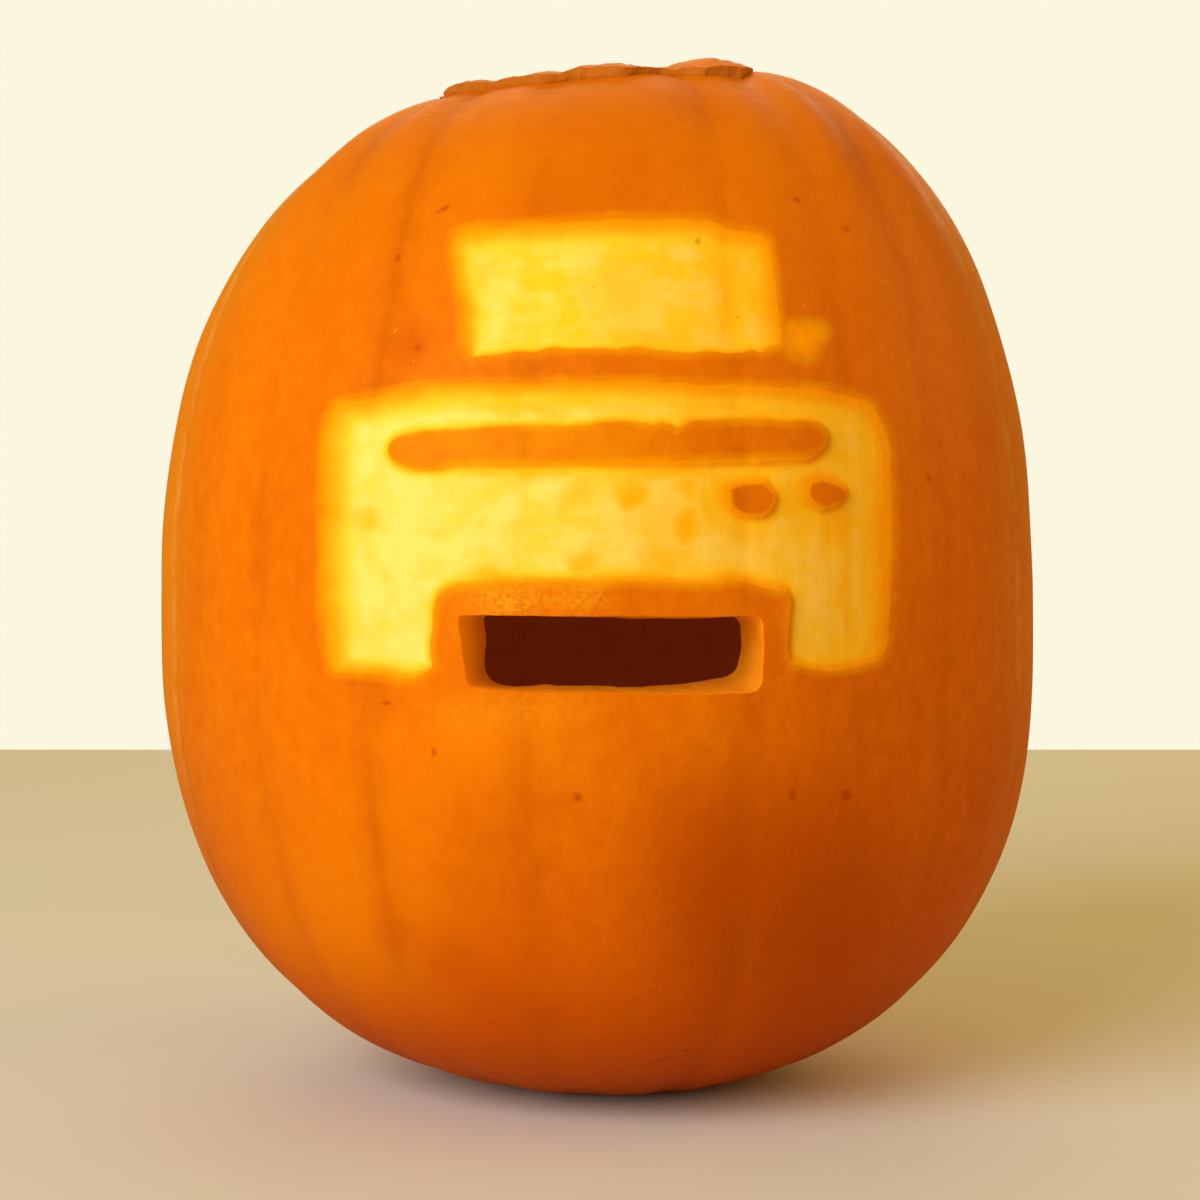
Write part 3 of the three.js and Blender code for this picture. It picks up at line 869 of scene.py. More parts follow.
# %% Build the hollow
WALL = 20
HOLLOW_COLUMNS = 120
HOLLOW_ROWS = 56
HOLLOW_LAST_CLIMB = 86
FURROW_DEPTH = 0.7


def grid_faces(rows, columns):
    """Faces of a stack of rings with a closed cap at each end."""
    faces = []
    for row in range(rows - 1):
        for column in range(columns):
            here = row * columns + column
            beside = row * columns + (column + 1) % columns
            faces.append([here, beside, beside + columns, here + columns])
    faces.append(list(range(columns))[::-1])
    faces.append(list(range((rows - 1) * columns, rows * columns)))
    return faces


def build_hollow():
    """The space that was scooped out, as a closed piece."""
    azimuth = np.linspace(0, TURN, HOLLOW_COLUMNS, endpoint=False)
    climb = np.radians(np.linspace(-HOLLOW_LAST_CLIMB, HOLLOW_LAST_CLIMB, HOLLOW_ROWS))
    azimuth, climb = [grid.ravel() for grid in np.meshgrid(azimuth, climb)]
    along = climb * EQUATOR_RADIUS
    furrows = ripple(azimuth / TURN * 60, along / 40, 31, 60)
    lumps = ripple(azimuth / TURN * 24, along / 14, 32, 24)
    uneven = FURROW_DEPTH * (0.5 * furrows + 0.7 * lumps)
    points = fruit_points(azimuth, climb, WALL + uneven, ribbed=False)
    faces = grid_faces(HOLLOW_ROWS, HOLLOW_COLUMNS)
    place = place_on_rib(azimuth, along)
    return make_piece("hollow", points, faces, SCOOPED, WALL, place)


def cut(piece, cutter, operation="DIFFERENCE"):
    """Cuts one closed piece with another, and removes the cutter."""
    change = piece.modifiers.new(operation.lower(), "BOOLEAN")
    change.operation = operation
    change.solver = "MANIFOLD"
    change.object = cutter
    bpy.context.view_layer.objects.active = piece
    bpy.ops.object.modifier_apply(modifier=change.name)
    bpy.data.objects.remove(cutter)


cut(rind, build_hollow())
print("rind with its hollow:", len(rind.data.polygons), "faces")

# %% [markdown]
# ## How deep a cut goes
#
# The walls of the slot and of the hand hole pass through every layer of the rind. Their
# colour follows the depth under the skin, so each point of a cutter gets that depth. The
# superellipse helps again: a point with the value 0.9 lies on a fruit of nine tenths.


# %% Depth under the skin of any point
def depth_under_skin(points):
    """How far under the smooth skin each point lies, in millimetres."""
    x, y, z = points.T
    height = z - EQUATOR_HEIGHT
    upper = height >= 0
    rise, power = side_view(upper)
    to_end = np.minimum(np.abs(height) / rise, 1)
    height = np.where(upper, height - CROWN_SLANT * x * to_end**2, height)
    radius, height = np.hypot(x, y), np.abs(height)
    value = (radius / EQUATOR_RADIUS) ** power + (height / rise) ** power
    value = np.maximum(value, 1e-6) ** (1 / power)
    outward_radius = radius ** (power - 1) / EQUATOR_RADIUS**power
    outward_height = height ** (power - 1) / rise**power
    length = np.hypot(outward_radius, outward_height) + 1e-12
    support = (radius * outward_radius + height * outward_height) / length
    return support * (1 / value - 1)


print("depth 20 mm behind the front:", depth_under_skin(np.array([[0, -105.5, 129.4]])))

# %% [markdown]
# ## The paper slot
#
# The knife went in along the edge of the slot and came out inside on a smaller outline,
# so the side walls show. The cutter is a loft between the two outlines. Its walls waver
# a little, as a knife pushed through tough flesh does.

# %% Outlines of the slot on the skin and on the inner face
SLOT_FACE = [
    (-34.9, 143.2), (-32.2, 143.7), (-22.0, 143.8), (-9.3, 143.8), (5.9, 143.8), (21.1, 143.7),
    (35.1, 143.4), (40.8, 143.3), (42.2, 141.7), (42.5, 137.1), (42.5, 130.7), (42.1, 125.9),
    (40.3, 123.9), (35.2, 123.7), (26.2, 123.6), (10.9, 124.0), (-9.3, 124.2), (-24.5, 124.8),
    (-29.7, 125.1), (-32.2, 125.7), (-33.5, 129.2), (-34.5, 136.1),
]
SLOT_INNER = [
    (-28.8, 141.8), (-19.9, 142.3), (-9.5, 142.1), (1.8, 142.1), (9.1, 141.7), (26.8, 141.4),
    (32.0, 141.6), (35.7, 141.6), (36.7, 140.3), (37.5, 137.2), (37.5, 133.0), (36.7, 129.9),
    (35.7, 127.5), (33.1, 126.3), (28.1, 125.4), (20.5, 124.5), (13.3, 124.0), (6.0, 124.0),
    (-1.8, 124.1), (-9.6, 124.2), (-13.4, 124.4), (-17.3, 124.0), (-24.1, 124.0),
    (-27.2, 125.1), (-28.8, 126.9), (-29.2, 130.6), (-28.5, 135.8),
]
SLOT_POINTS = 260
SLOT_STEPS = np.linspace(-0.5, 1.35, 26)  # 0 on the skin, 1 on the inner face
SLOT_WAVER = 0.22
SLOT_WAVES = 60


def evenly_spaced(line, count):
    """Evenly spaced points along a closed line."""
    closed = np.vstack([line, line[:1]])
    along = np.append(0, np.cumsum(np.linalg.norm(np.diff(closed, axis=0), axis=1)))
    wanted = np.linspace(0, along[-1], count, endpoint=False)
    return np.stack([np.interp(wanted, along, closed[:, i]) for i in (0, 1)], 1)


def slot_outline(corners):
    """A smooth closed curve through the corners."""
    line = smooth_outline([(x, z, 0) for x, z in corners], step=0.5)
    return evenly_spaced(line[:, :2], SLOT_POINTS)


def front_of_skin(x, z):
    """How far forward of the axis the smooth skin is."""
    rise, power = side_view(z > EQUATOR_HEIGHT)
    rest = 1 - (np.abs(z - EQUATOR_HEIGHT) / rise) ** power
    radius = EQUATOR_RADIUS * rest ** (1 / power)
    return np.sqrt(np.maximum(radius**2 - x**2, 0))


def make_cutter(name, rings, part):
    """A closed piece through stacked rings, whose layer is its depth under the skin."""
    points = np.concatenate(rings)
    faces = grid_faces(len(rings), len(rings[0]))
    place = place_on_rib(np.arctan2(points[:, 0], -points[:, 1]), points[:, 2])
    return make_piece(name, points, faces, part, depth_under_skin(points), place)


def build_slot():
    """The wedge that leaves the slot."""
    outer, inner = slot_outline(SLOT_FACE), slot_outline(SLOT_INNER)
    forward = front_of_skin(outer[:, 0], outer[:, 1])
    rings = []
    for step in SLOT_STEPS:
        ring = outer + (inner - outer) * step
        outward = ring - ring.mean(0)
        outward = outward / np.linalg.norm(outward, axis=1)[:, None]
        places_round = np.arange(SLOT_POINTS) / SLOT_POINTS * SLOT_WAVES
        waver = ripple(places_round, step * 5 + 3, 41, SLOT_WAVES)
        ring = ring + outward * (SLOT_WAVER * waver)[:, None]
        rings.append(np.column_stack([ring[:, 0], WALL * step - forward, ring[:, 1]]))
    return make_cutter("slot", rings, SLOT_WALL)


cut(rind, build_slot())
print("rind with its slot:", len(rind.data.polygons), "faces")

# %% [markdown]
# ## The hand hole and the lid
#
# The crown was cut out with straight strokes of a knife held at a slant, so the lid is a
# tapered plug and can't fall in. The same plug makes both: the hole is cut with one that
# is a little larger, and the lid is what a slightly smaller one keeps of the crown.

# %% Build the plug, whose corners are (azimuth in degrees, radius)
HOLE_CORNERS = [
    (-90, 47.5), (-58, 52.5), (-38, 45.5), (-19, 49), (-8, 46.5), (8, 50.5), (22, 47), (33, 54),
    (45, 56), (56, 51.5), (90, 42.5), (120, 49), (150, 46.5), (180, 50), (212, 47), (240, 50),
]
HOLE_HEIGHT = 286
HOLE_TOP = 304
KNIFE_LEAN = 25
LID_GAP = 0.35
LID_UNDERSIDE = 266
PLUG_POINTS = 400
PLUG_RING_STEP = 0.9
KNIFE_TREMBLE = 0.45
TREMBLE_CELLS = 64
UNDERSIDE_LUMPS = 0.8
UNDERSIDE_SHARES = (0.05, 0.25, 0.45, 0.65, 0.85)


def build_plug(name, gap, bottom):
    """The tapered plug, a gap wider than the knife's own line, with a rough foot."""
    azimuth, reach = np.array(HOLE_CORNERS, float).T
    azimuth = np.radians(azimuth)
    corners = np.column_stack([reach * np.sin(azimuth), -reach * np.cos(azimuth)])
    line = evenly_spaced(corners, PLUG_POINTS)
    radius = np.linalg.norm(line, axis=1)
    direction = line / radius[:, None]
    round_place = np.arange(PLUG_POINTS) / PLUG_POINTS * TREMBLE_CELLS
    rings = []

    def ring(height, share=1.0):
        inward = (HOLE_HEIGHT - height) * math.tan(math.radians(KNIFE_LEAN))
        short = ripple(round_place * 2, height / 2.6, 51, TREMBLE_CELLS * 2)
        long = ripple(round_place, height / 9, 52, TREMBLE_CELLS)
        tremble = KNIFE_TREMBLE * short + 0.5 * KNIFE_TREMBLE * long
        out = (radius - inward + gap + tremble) * share
        flat = direction * out[:, None]
        lumps = ripple(flat[:, 0] / 6, flat[:, 1] / 6, 53) * (share < 1)
        rings.append(np.column_stack([flat, height + UNDERSIDE_LUMPS * lumps]))

    for share in UNDERSIDE_SHARES:
        ring(bottom, share)
    for height in np.arange(bottom, HOLE_TOP + PLUG_RING_STEP, PLUG_RING_STEP):
        ring(height)
    return make_cutter(name, rings, HOLE_WALL)


cut(rind, build_plug("hand_hole", LID_GAP, LID_UNDERSIDE - WALL))
print("rind with its hand hole:", len(rind.data.polygons), "faces")

# %% [markdown]
# The crown that makes the lid is the same skin again on a finer polar grid. The stem broke
# off low and left a corky scar with five lobes in the dip.

# %% Build the lid
LID_LIFT = 1.2

# How high the lid's edge stands over the rim, in mm, by azimuth in degrees. It lies flush
# at the sides and behind, and stands proud in front, where the last cut met the first.
LID_EDGE = [
    (-180, 0.3), (-90, 0.2), (-62, 0.3), (-59, 0.8), (-57, 2.2), (-53, 3.0), (-47, 2.7),
    (-38, 2.7), (-30, 2.4), (-25, 2.5), (-18, 2.9), (-12, 2.5), (-6, 3.5), (1, 3.2), (9, 2.8),
    (14, 1.8), (22, 1.4), (26, 1.6), (30, 2.0), (37, 2.3), (42, 2.9), (46, 3.2), (50, 2.2),
    (53, 0.9), (56, 0.2), (90, 0.0), (180, 0.3),
]
LID_EDGE_REACH = 16
EDGE_RAGGED = 0.28  # the knife tore the edge of the lid
HUMP_PLACE = (30.5, -38)
HUMP_SIZE = (10.5, 6.5)
HUMP_HEIGHT = 0.85
CROWN_COLUMNS = 360
STEM_RADIUS = 9
STEM_HEIGHT = 4
STEM_LOBES = 5
STEM_SLOPE = 2.2
CORK_SPREAD = 1.6
CROWN_FOOT_CLIMB = 32
CROWN_TOP_CLIMB = 89.9

# The crown's rings as (from, to, step), in mm from the axis.
CROWN_RINGS = [(1.2, 14, 0.75), (14, 40, 1.5), (40, 60, 0.8), (60, 100, 4)]


def stem_scar(x, y):
    """Height of the broken stem over the skin, and where its cork shows."""
    azimuth, radius = np.arctan2(x, -y), np.hypot(x, y)
    edge = STEM_RADIUS * (1 + 0.12 * np.cos(STEM_LOBES * azimuth))
    rise = smoothstep(edge + 0.8 - radius, 0, STEM_SLOPE)
    dish = 1 - 0.3 * (1 - smoothstep(radius, 0, 0.8 * STEM_RADIUS))
    rough = 0.55 * ripple(x / 1.3 + 9, y / 1.3 + 9, 61) + 0.4 * ripple(x / 3, y / 3, 62)
    height = rise * (STEM_HEIGHT * dish + rough - 0.5)
    return height, smoothstep(edge + CORK_SPREAD - radius, 0, CORK_SPREAD)


def lid_lift(x, y):
    """How far the crown stands over the skin that it was cut from."""
    azimuth, radius = np.degrees(np.arctan2(x, -y)), np.hypot(x, y)
    azimuths, heights = np.array(LID_EDGE).T
    edge = np.interp(azimuth, azimuths, heights)
    edge = edge + EDGE_RAGGED * ripple(x / 1.9, y / 1.9, seed=63)
    _, line = np.array(HOLE_CORNERS).T
    to_edge = smoothstep(radius, line.min() - LID_EDGE_REACH, line.min())
    right, forward = (x - HUMP_PLACE[0]) / HUMP_SIZE[0], (y - HUMP_PLACE[1]) / HUMP_SIZE[1]
    hump = HUMP_HEIGHT * np.exp(-(right**2) - forward**2)
    return LID_LIFT + (edge - LID_LIFT) * to_edge + hump


def build_lid():
    """The cut crown."""
    radii = np.concatenate([np.arange(*ring) for ring in CROWN_RINGS])[::-1]
    fine = np.radians(np.linspace(CROWN_FOOT_CLIMB, CROWN_TOP_CLIMB, 2 * PROFILE_STEPS))
    line = fruit_points(np.zeros(len(fine)), fine, ribbed=False)
    climbs = np.interp(radii, -line[::-1, 1], fine[::-1])
    azimuth = np.linspace(0, TURN, CROWN_COLUMNS, endpoint=False)
    azimuth, climb = [grid.ravel() for grid in np.meshgrid(azimuth, climbs)]
    along = np.interp(climb, row_lines, row_lengths)
    points = fruit_points(azimuth, climb, skin_roll(azimuth, along))
    scar, cork = stem_scar(points[:, 0], points[:, 1])
    points[:, 2] += lid_lift(points[:, 0], points[:, 1]) + scar
    faces = grid_faces(len(radii), CROWN_COLUMNS)
    groove, shows = groove_line(azimuth, points)
    place = place_on_rib(azimuth, along)
    crown = make_piece("lid_crown", points, faces, SKIN, -GLOW_REACH, place, groove, shows)
    store(crown, "cork", cork)
    cut(crown, build_plug("lid_plug", -LID_GAP, LID_UNDERSIDE), "INTERSECT")
    return crown


lid = build_lid()
print("lid:", len(lid.data.polygons), "faces")

# %% [markdown]
# ## Crisp cuts, soft skin
#
# Smooth shading would smear the light across the edge of a cut. Only where two kinds of
# surface meet is an edge marked sharp: the skin and a wall of the slot, for example. The
# slopes of the scraped fields stay smooth.


# %% Mark the sharp edges
def part_numbers(mesh):
    """The part of the pumpkin that each face came from."""
    part = np.empty(len(mesh.polygons), int)
    mesh.attributes["part"].data.foreach_get("value", part)
    return part


def sharpen_between_parts(piece):
    """Marks the edges between the skin, the hollow and the walls as sharp."""
    mesh = piece.data
    part = part_numbers(mesh)
    face_of_corner = np.repeat(
        np.arange(len(mesh.polygons)), [len(face.vertices) for face in mesh.polygons]
    )
    edges = np.empty(len(mesh.loops), int)
    mesh.loops.foreach_get("edge_index", edges)
    lowest = np.full(len(mesh.edges), HOLE_WALL)
    highest = np.full(len(mesh.edges), SKIN)
    np.minimum.at(lowest, edges, part[face_of_corner])
    np.maximum.at(highest, edges, part[face_of_corner])
    sharp = mesh.attributes.get("sharp_edge")
    sharp = sharp or mesh.attributes.new("sharp_edge", "BOOLEAN", "EDGE")
    sharp.data.foreach_set("value", lowest != highest)
    return part, int((lowest != highest).sum())


for piece in (rind, lid):
    part, count = sharpen_between_parts(piece)
    print(piece.name, "sharp edges:", count, "faces by part:", np.bincount(part))

# %% [markdown]
# ## Small tools for node trees
#
# A material is a tree of nodes, and some helpers keep it short in code. The first adds a
# node and links or sets its inputs. Those for masks and colours each stand for one node,
# or for a row of them. The last two start a node group with named sockets and place it in
# a material. A group is worth making when more than one material needs the same effect.


# %% Helpers for nodes and groups
def node(tree, kind, inputs=None, **settings):
    """Adds a node. An input is linked if its value is a socket, and set if it isn't."""
    made = tree.nodes.new(kind)
    for name, value in settings.items():
        setattr(made, name, value)
    for name, value in (inputs or {}).items():
        if isinstance(value, bpy.types.NodeSocket):
            tree.links.new(value, made.inputs[name])
        else:
            made.inputs[name].default_value = value
    return made


def calc(tree, operation, first, second=0.0):
    """The result of a Math node."""
    return node(tree, "ShaderNodeMath", {0: first, 1: second}, operation=operation).outputs[0]


def times(tree, first, second):
    """Two masks multiplied: the result shows where both do."""
    return calc(tree, "MULTIPLY", first, second)


def scaled(tree, vector, factors):
    """A vector with each part multiplied, which stretches the pattern that reads it."""
    made = node(tree, "ShaderNodeVectorMath", {0: vector, 1: factors}, operation="MULTIPLY")
    return made.outputs[0]


FACTOR, FIRST_COLOUR, SECOND_COLOUR, COLOUR_OUT = 0, 6, 7, 2  # sockets of a Mix node


def mixed(tree, share, first, second):
    """Two colours mixed: the first where share is 0, the second where it is 1."""
    inputs = {FACTOR: share, FIRST_COLOUR: first, SECOND_COLOUR: second}
    return node(tree, "ShaderNodeMix", inputs, data_type="RGBA").outputs[COLOUR_OUT]


def layered(tree, colour, coats):
    """A colour with others over it. Each coat is (where it shows, its colour)."""
    for share, coat in coats:
        colour = mixed(tree, share, colour, coat)
    return colour


def ramp(tree, value, start, end, low=0.0, high=1.0):
    """A smooth ramp from low to high while the value goes from start to end."""
    inputs = {"Value": value, "From Min": start, "From Max": end}
    inputs.update({"To Min": low, "To Max": high})
    made = node(tree, "ShaderNodeMapRange", inputs, interpolation_type="SMOOTHSTEP")
    return made.outputs["Result"]


def new_group(name, inputs, outputs):
    """An empty node group with named sockets: its tree, its inputs, its output node."""
    tree = bpy.data.node_groups.new(name, "ShaderNodeTree")
    for label, kind in inputs.items():
        tree.interface.new_socket(label, in_out="INPUT", socket_type=f"NodeSocket{kind}")
    for label, kind in outputs.items():
        tree.interface.new_socket(label, in_out="OUTPUT", socket_type=f"NodeSocket{kind}")
    return tree, node(tree, "NodeGroupInput").outputs, node(tree, "NodeGroupOutput")


def placed(tree, group, inputs):
    """A group placed in a material with its own values: its outputs."""
    return node(tree, "ShaderNodeGroup", inputs, node_tree=group).outputs


print("helpers ready")

# %% [markdown]
# ## Effects that the materials share
#
# *Mottle* is a cloudy mask: a noise texture whose grey middle is spread out. *Mark* is one
# small spot or scratch with a soft edge, for what a fruit collects in the field. *Rind
# layers* gives the colour of a layer: skin first, then an orange one, then the flesh.


# %% Node group: mottle
def build_mottle():
    """A cloudy mask."""
    inputs = {"Place": "Vector", "Scale": "Float", "Detail": "Float"}
    inputs.update({"From": "Float", "To": "Float"})
    tree, given, result = new_group("mottle", inputs, {"Mask": "Float"})
    noise = {"Vector": given["Place"], "Scale": given["Scale"], "Detail": given["Detail"]}
    cloud = node(tree, "ShaderNodeTexNoise", noise).outputs[0]
    tree.links.new(ramp(tree, cloud, given["From"], given["To"]), result.inputs["Mask"])
    return tree


mottle = build_mottle()


def clouds(tree, place, scale, detail=3, start=0.35, end=0.65, stretch=None):
    """A cloudy mask in a material, stretched by factors below one."""
    if stretch:
        place = scaled(tree, place, stretch)
    inputs = {"Place": place, "Scale": scale, "Detail": detail, "From": start, "To": end}
    return placed(tree, mottle, inputs)["Mask"]


print("group:", mottle.name)

# %% [markdown]
# ## Small marks
#
# A mark lies in its own small frame: a Mapping node of the type Texture moves, turns and
# shrinks space so that the mark becomes a ball of radius one. The group gives the distance
# from its centre. The nearest of several marks is then frayed by a cloud, all at once.


# %% Node group: mark
def build_mark():
    """The distance from a mark, in its own half sizes."""
    inputs = {"Place": "Vector", "Centre": "Vector", "Turn": "Vector", "Size": "Vector"}
    tree, given, result = new_group("mark", inputs, {"Away": "Float"})
    frame_of_mark = {"Vector": given["Place"], "Location": given["Centre"]}
    frame_of_mark.update({"Rotation": given["Turn"], "Scale": given["Size"]})
    inside = node(tree, "ShaderNodeMapping", frame_of_mark, vector_type="TEXTURE").outputs[0]
    away = node(tree, "ShaderNodeVectorMath", {0: inside}, operation="LENGTH")
    tree.links.new(away.outputs["Value"], result.inputs["Away"])
    return tree


mark = build_mark()
MARK_THICKNESS = 9  # mm, through the skin, so that a mark shows on any relief


def on_front(right, height):
    """The place on the front of the skin, in metres."""
    forward = front_of_skin(np.array([right]), np.array([height]))[0]
    return right * MM, -forward * MM, height * MM


def marks(tree, place, cloud, rows, strength, fray=0.5, softness=0.85):
    """Several marks as one mask."""
    nearest = None
    for right, height, half_width, half_height, turn in rows:
        size = (half_width * MM, MARK_THICKNESS * MM, half_height * MM)
        inputs = {"Place": place, "Centre": on_front(right, height), "Size": size}
        inputs["Turn"] = (0, math.radians(turn), 0)
        away = placed(tree, mark, inputs)["Away"]
        nearest = away if nearest is None else calc(tree, "MINIMUM", nearest, away)
    shift = times(tree, calc(tree, "SUBTRACT", cloud, 0.5), fray)
    frayed = calc(tree, "ADD", nearest, shift)
    return ramp(tree, frayed, 1.0, 1.0 - softness, 0.0, strength)


print("group:", mark.name)

# %% [markdown]
# ## Layers of the rind
#
# Where a knife slants through the rind it shows its layers side by side: the thin skin, an
# orange layer under it, then the yellow flesh. Every surface of this pumpkin stores which
# layer it shows, so one group can colour them all. A cloud makes the borders waver.


# %% Node group: rind layers
BARE_FROM, BARE_TO = -0.12, 0.5  # the layers, in mm, between which the skin ends
FLESH_FROM, FLESH_TO = 0.25, FLESH_LAYER


def build_rind_layers():
    """The colour of a layer of the rind, and how bare and how fleshy it is."""
    inputs = {"Layer": "Float", "Waver": "Float"}
    inputs.update({"Skin": "Color", "Under skin": "Color", "Flesh": "Color"})
    outputs = {"Colour": "Color", "Bare": "Float", "Flesh": "Float"}
    tree, given, result = new_group("rind layers", inputs, outputs)
    waver = calc(tree, "SUBTRACT", given["Waver"], 0.5)
    shift = times(tree, waver, 0.2)
    bare = ramp(tree, calc(tree, "ADD", given["Layer"], shift), BARE_FROM, BARE_TO)
    shift = times(tree, waver, 0.5)
    flesh = ramp(tree, calc(tree, "ADD", given["Layer"], shift), FLESH_FROM, FLESH_TO)
    colour = mixed(tree, bare, given["Skin"], given["Under skin"])
    colour = mixed(tree, flesh, colour, given["Flesh"])
    for label, value in {"Colour": colour, "Bare": bare, "Flesh": flesh}.items():
        tree.links.new(value, result.inputs[label])
    return tree


rind_layers = build_rind_layers()
print("group:", rind_layers.name)

# %% [markdown]
# ## Colours of skin and flesh
#
# Orange is easily made too red. A ripe carving pumpkin has almost no blue, and about a
# fifth as much green as red in linear light. The skin is yellower towards the crown, and
# painted redder and darker towards the base as painted shade. The flesh has three tones:
# pale where the scraper went deep, yellow, and ochre where a little of the orange layer
# was left.

# %% Linear colours
SKIN_DEEP = (0.78, 0.155, 0.001, 1)
SKIN_LIGHT = (0.92, 0.225, 0.002, 1)
SKIN_CROWN = (0.80, 0.205, 0.002, 1)
# painted shade: the skin is redder and darker towards the base
SKIN_BASE_SHADE = (0.82, 0.13, 0.001, 1)
# painted reflection on the sides, then the painted highlight on the groove shoulders
SIDE_REFLECTION_COLOUR = (0.90, 0.30, 0.006, 1)
SHOULDER_HIGHLIGHT_COLOUR = (0.96, 0.46, 0.10, 1)
SKIN_BRIGHT = (0.98, 0.255, 0.001, 1)
SKIN_RED = (0.62, 0.10, 0.001, 1)
# painted shade in the grooves: the same hue, darker
GROOVE_PAINTED_SHADE = (0.60, 0.11, 0.001, 1)
# painted glow: light from the flesh beside it, and all over the bar where the skin was thinned
SKIN_GLOW = (0.97, 0.36, 0.001, 1)
SCAR = (0.46, 0.055, 0.001, 1)
BRUISE = (0.68, 0.11, 0.001, 1)
# pale colour of the real nicks, and of the painted highlights of the glints
NICK_AND_HIGHLIGHT_COLOUR = (0.99, 0.39, 0.012, 1)
UNDER_SKIN = (0.96, 0.36, 0.001, 1)
FLESH_PALE = (0.97, 0.82, 0.20, 1)
FLESH_YELLOW = (0.97, 0.66, 0.02, 1)
FLESH_OCHRE = (0.95, 0.42, 0.0005, 1)
SLOPE_LIGHT = (0.17, 0.025, 0.0, 1)  # light that soaked in beside and comes out here
FLESH_LIGHT = (0.13, 0.05, 0.002, 1)
NO_LIGHT = (0, 0, 0, 1)
CORK = (0.30, 0.21, 0.11, 1)
CORK_DARK = (0.12, 0.075, 0.035, 1)

# Each mark is (right, height, half width, half height, turn), in millimetres and degrees.
SCARS = [
    (-54.1, 120.5, 2.56, 1.04, -10),
    (-41.6, 108.3, 1.35, 1.69, 0),
    (-5, 97.5, 2.03, 1.95, 20),
    (50.2, 96.7, 1.49, 2.6, 10),
    (64.9, 95.6, 2.29, 2.34, 0),
    (52.6, 250.3, 1.76, 1.43, 0),
    (65.5, 242.6, 2.03, 1.82, 0),
    (87.5, 177.3, 1.49, 1.82, 0),
    (-40.2, 247.7, 3.38, 1.17, -25),
    (-51.9, 235.1, 1.35, 1.95, 30),
    (-45.9, 211.6, 1.35, 1.43, 0),
    (0.9, 148, 0.5, 4.8, 30),
    (17.5, 20.5, 4.73, 0.91, -25),
    (24, 23.5, 1.89, 0.78, 0),
]
NICKS = [
    (-52.1, 215.8, 0.6, 1.1, 35),
    (-47, 208, 0.45, 0.6, 0),
    (53.6, 222.5, 0.9, 0.55, 0),
]
FIBRES = [
    (-1, 226.9, 0.9, 0.4, 10),
    (36.2, 219.3, 0.9, 1.1, 0),
    (44.5, 210.9, 0.9, 0.6, 0),
    (26, 239, 1.4, 1.2, 0),
]
print("small marks:", len(SCARS) + len(NICKS) + len(FIBRES))

# %% [markdown]
# The patterns repeat at sizes between a millimetre and several centimetres. A noise
# texture takes them as a scale, which is how many of its cells fit into a metre. Where a
# tone changes over a large distance, two places in metres say where it starts and ends.

# %% Sizes and places of the patterns
RIB_CLOUDS = 26
FLESH_CLOUDS = 95
THIN_SPOTS = 120
DAPPLES = 210
STROKES = 240
STREAKS = 260
SCRATCHES = 380
CRUST = 650
GRAIN = 760

CROWN_TONE = (0.13, 0.29)  # the height from which the skin gets its crown's tone
# from the first height down to the second the painted shade of the base grows
BASE_SHADE_HEIGHTS = (0.11, 0.02)  # and its base's
# the groove's painted shade: a thin dark line, then a wide shade round it
DARK_LINE = (3.4, 0.2)  # in mm from a groove, the thin dark line in it
DARK_SHADE = (10.0, 0.0)  # and the wide shade round that
# how far from a side groove its painted shoulder highlight reaches, in mm
SHOULDER_HIGHLIGHT_REACH = (4.6, 0.8)
# Toward the lit left the flesh is painted paler, and toward the shaded right less pale and more
# ochre, partly its own tone and partly painted light and painted shade.
RIGHT_SIDE = (0.02, 0.065)  # here the scraper left its strokes, and less pale flesh
LEFT_SIDE = (0.0, -0.06)  # here the flesh is palest
OCHRE_AND_SHADE_SIDE = (-0.02, 0.075)
SHEET_HEIGHT = (0.2, 0.215)
print("scales from", RIB_CLOUDS, "to", GRAIN)

# %% [markdown]
# ## The skin and the scraped fields
#
# One material covers the whole outside. It works out a skin colour and a flesh colour,
# and the stored layer decides which of them shows. The skin is dappled at three sizes, and
# a thin painted dark line with a soft painted shade round it runs along each groove. The
# broad patches of tone, painted light and painted shade come from the mesh, and each is
# mixed in over the one before.


# %% The colour of the skin
def stored(tree, name, output="Fac"):
    """An attribute that was stored in the mesh."""
    return node(tree, "ShaderNodeAttribute", attribute_name=name).outputs[output]


def weighed(tree, parts):
    """The sum of masks, each times its weight."""
    total = None
    for mask, weight in parts:
        share = times(tree, mask, weight)
        total = share if total is None else calc(tree, "ADD", total, share)
    return total


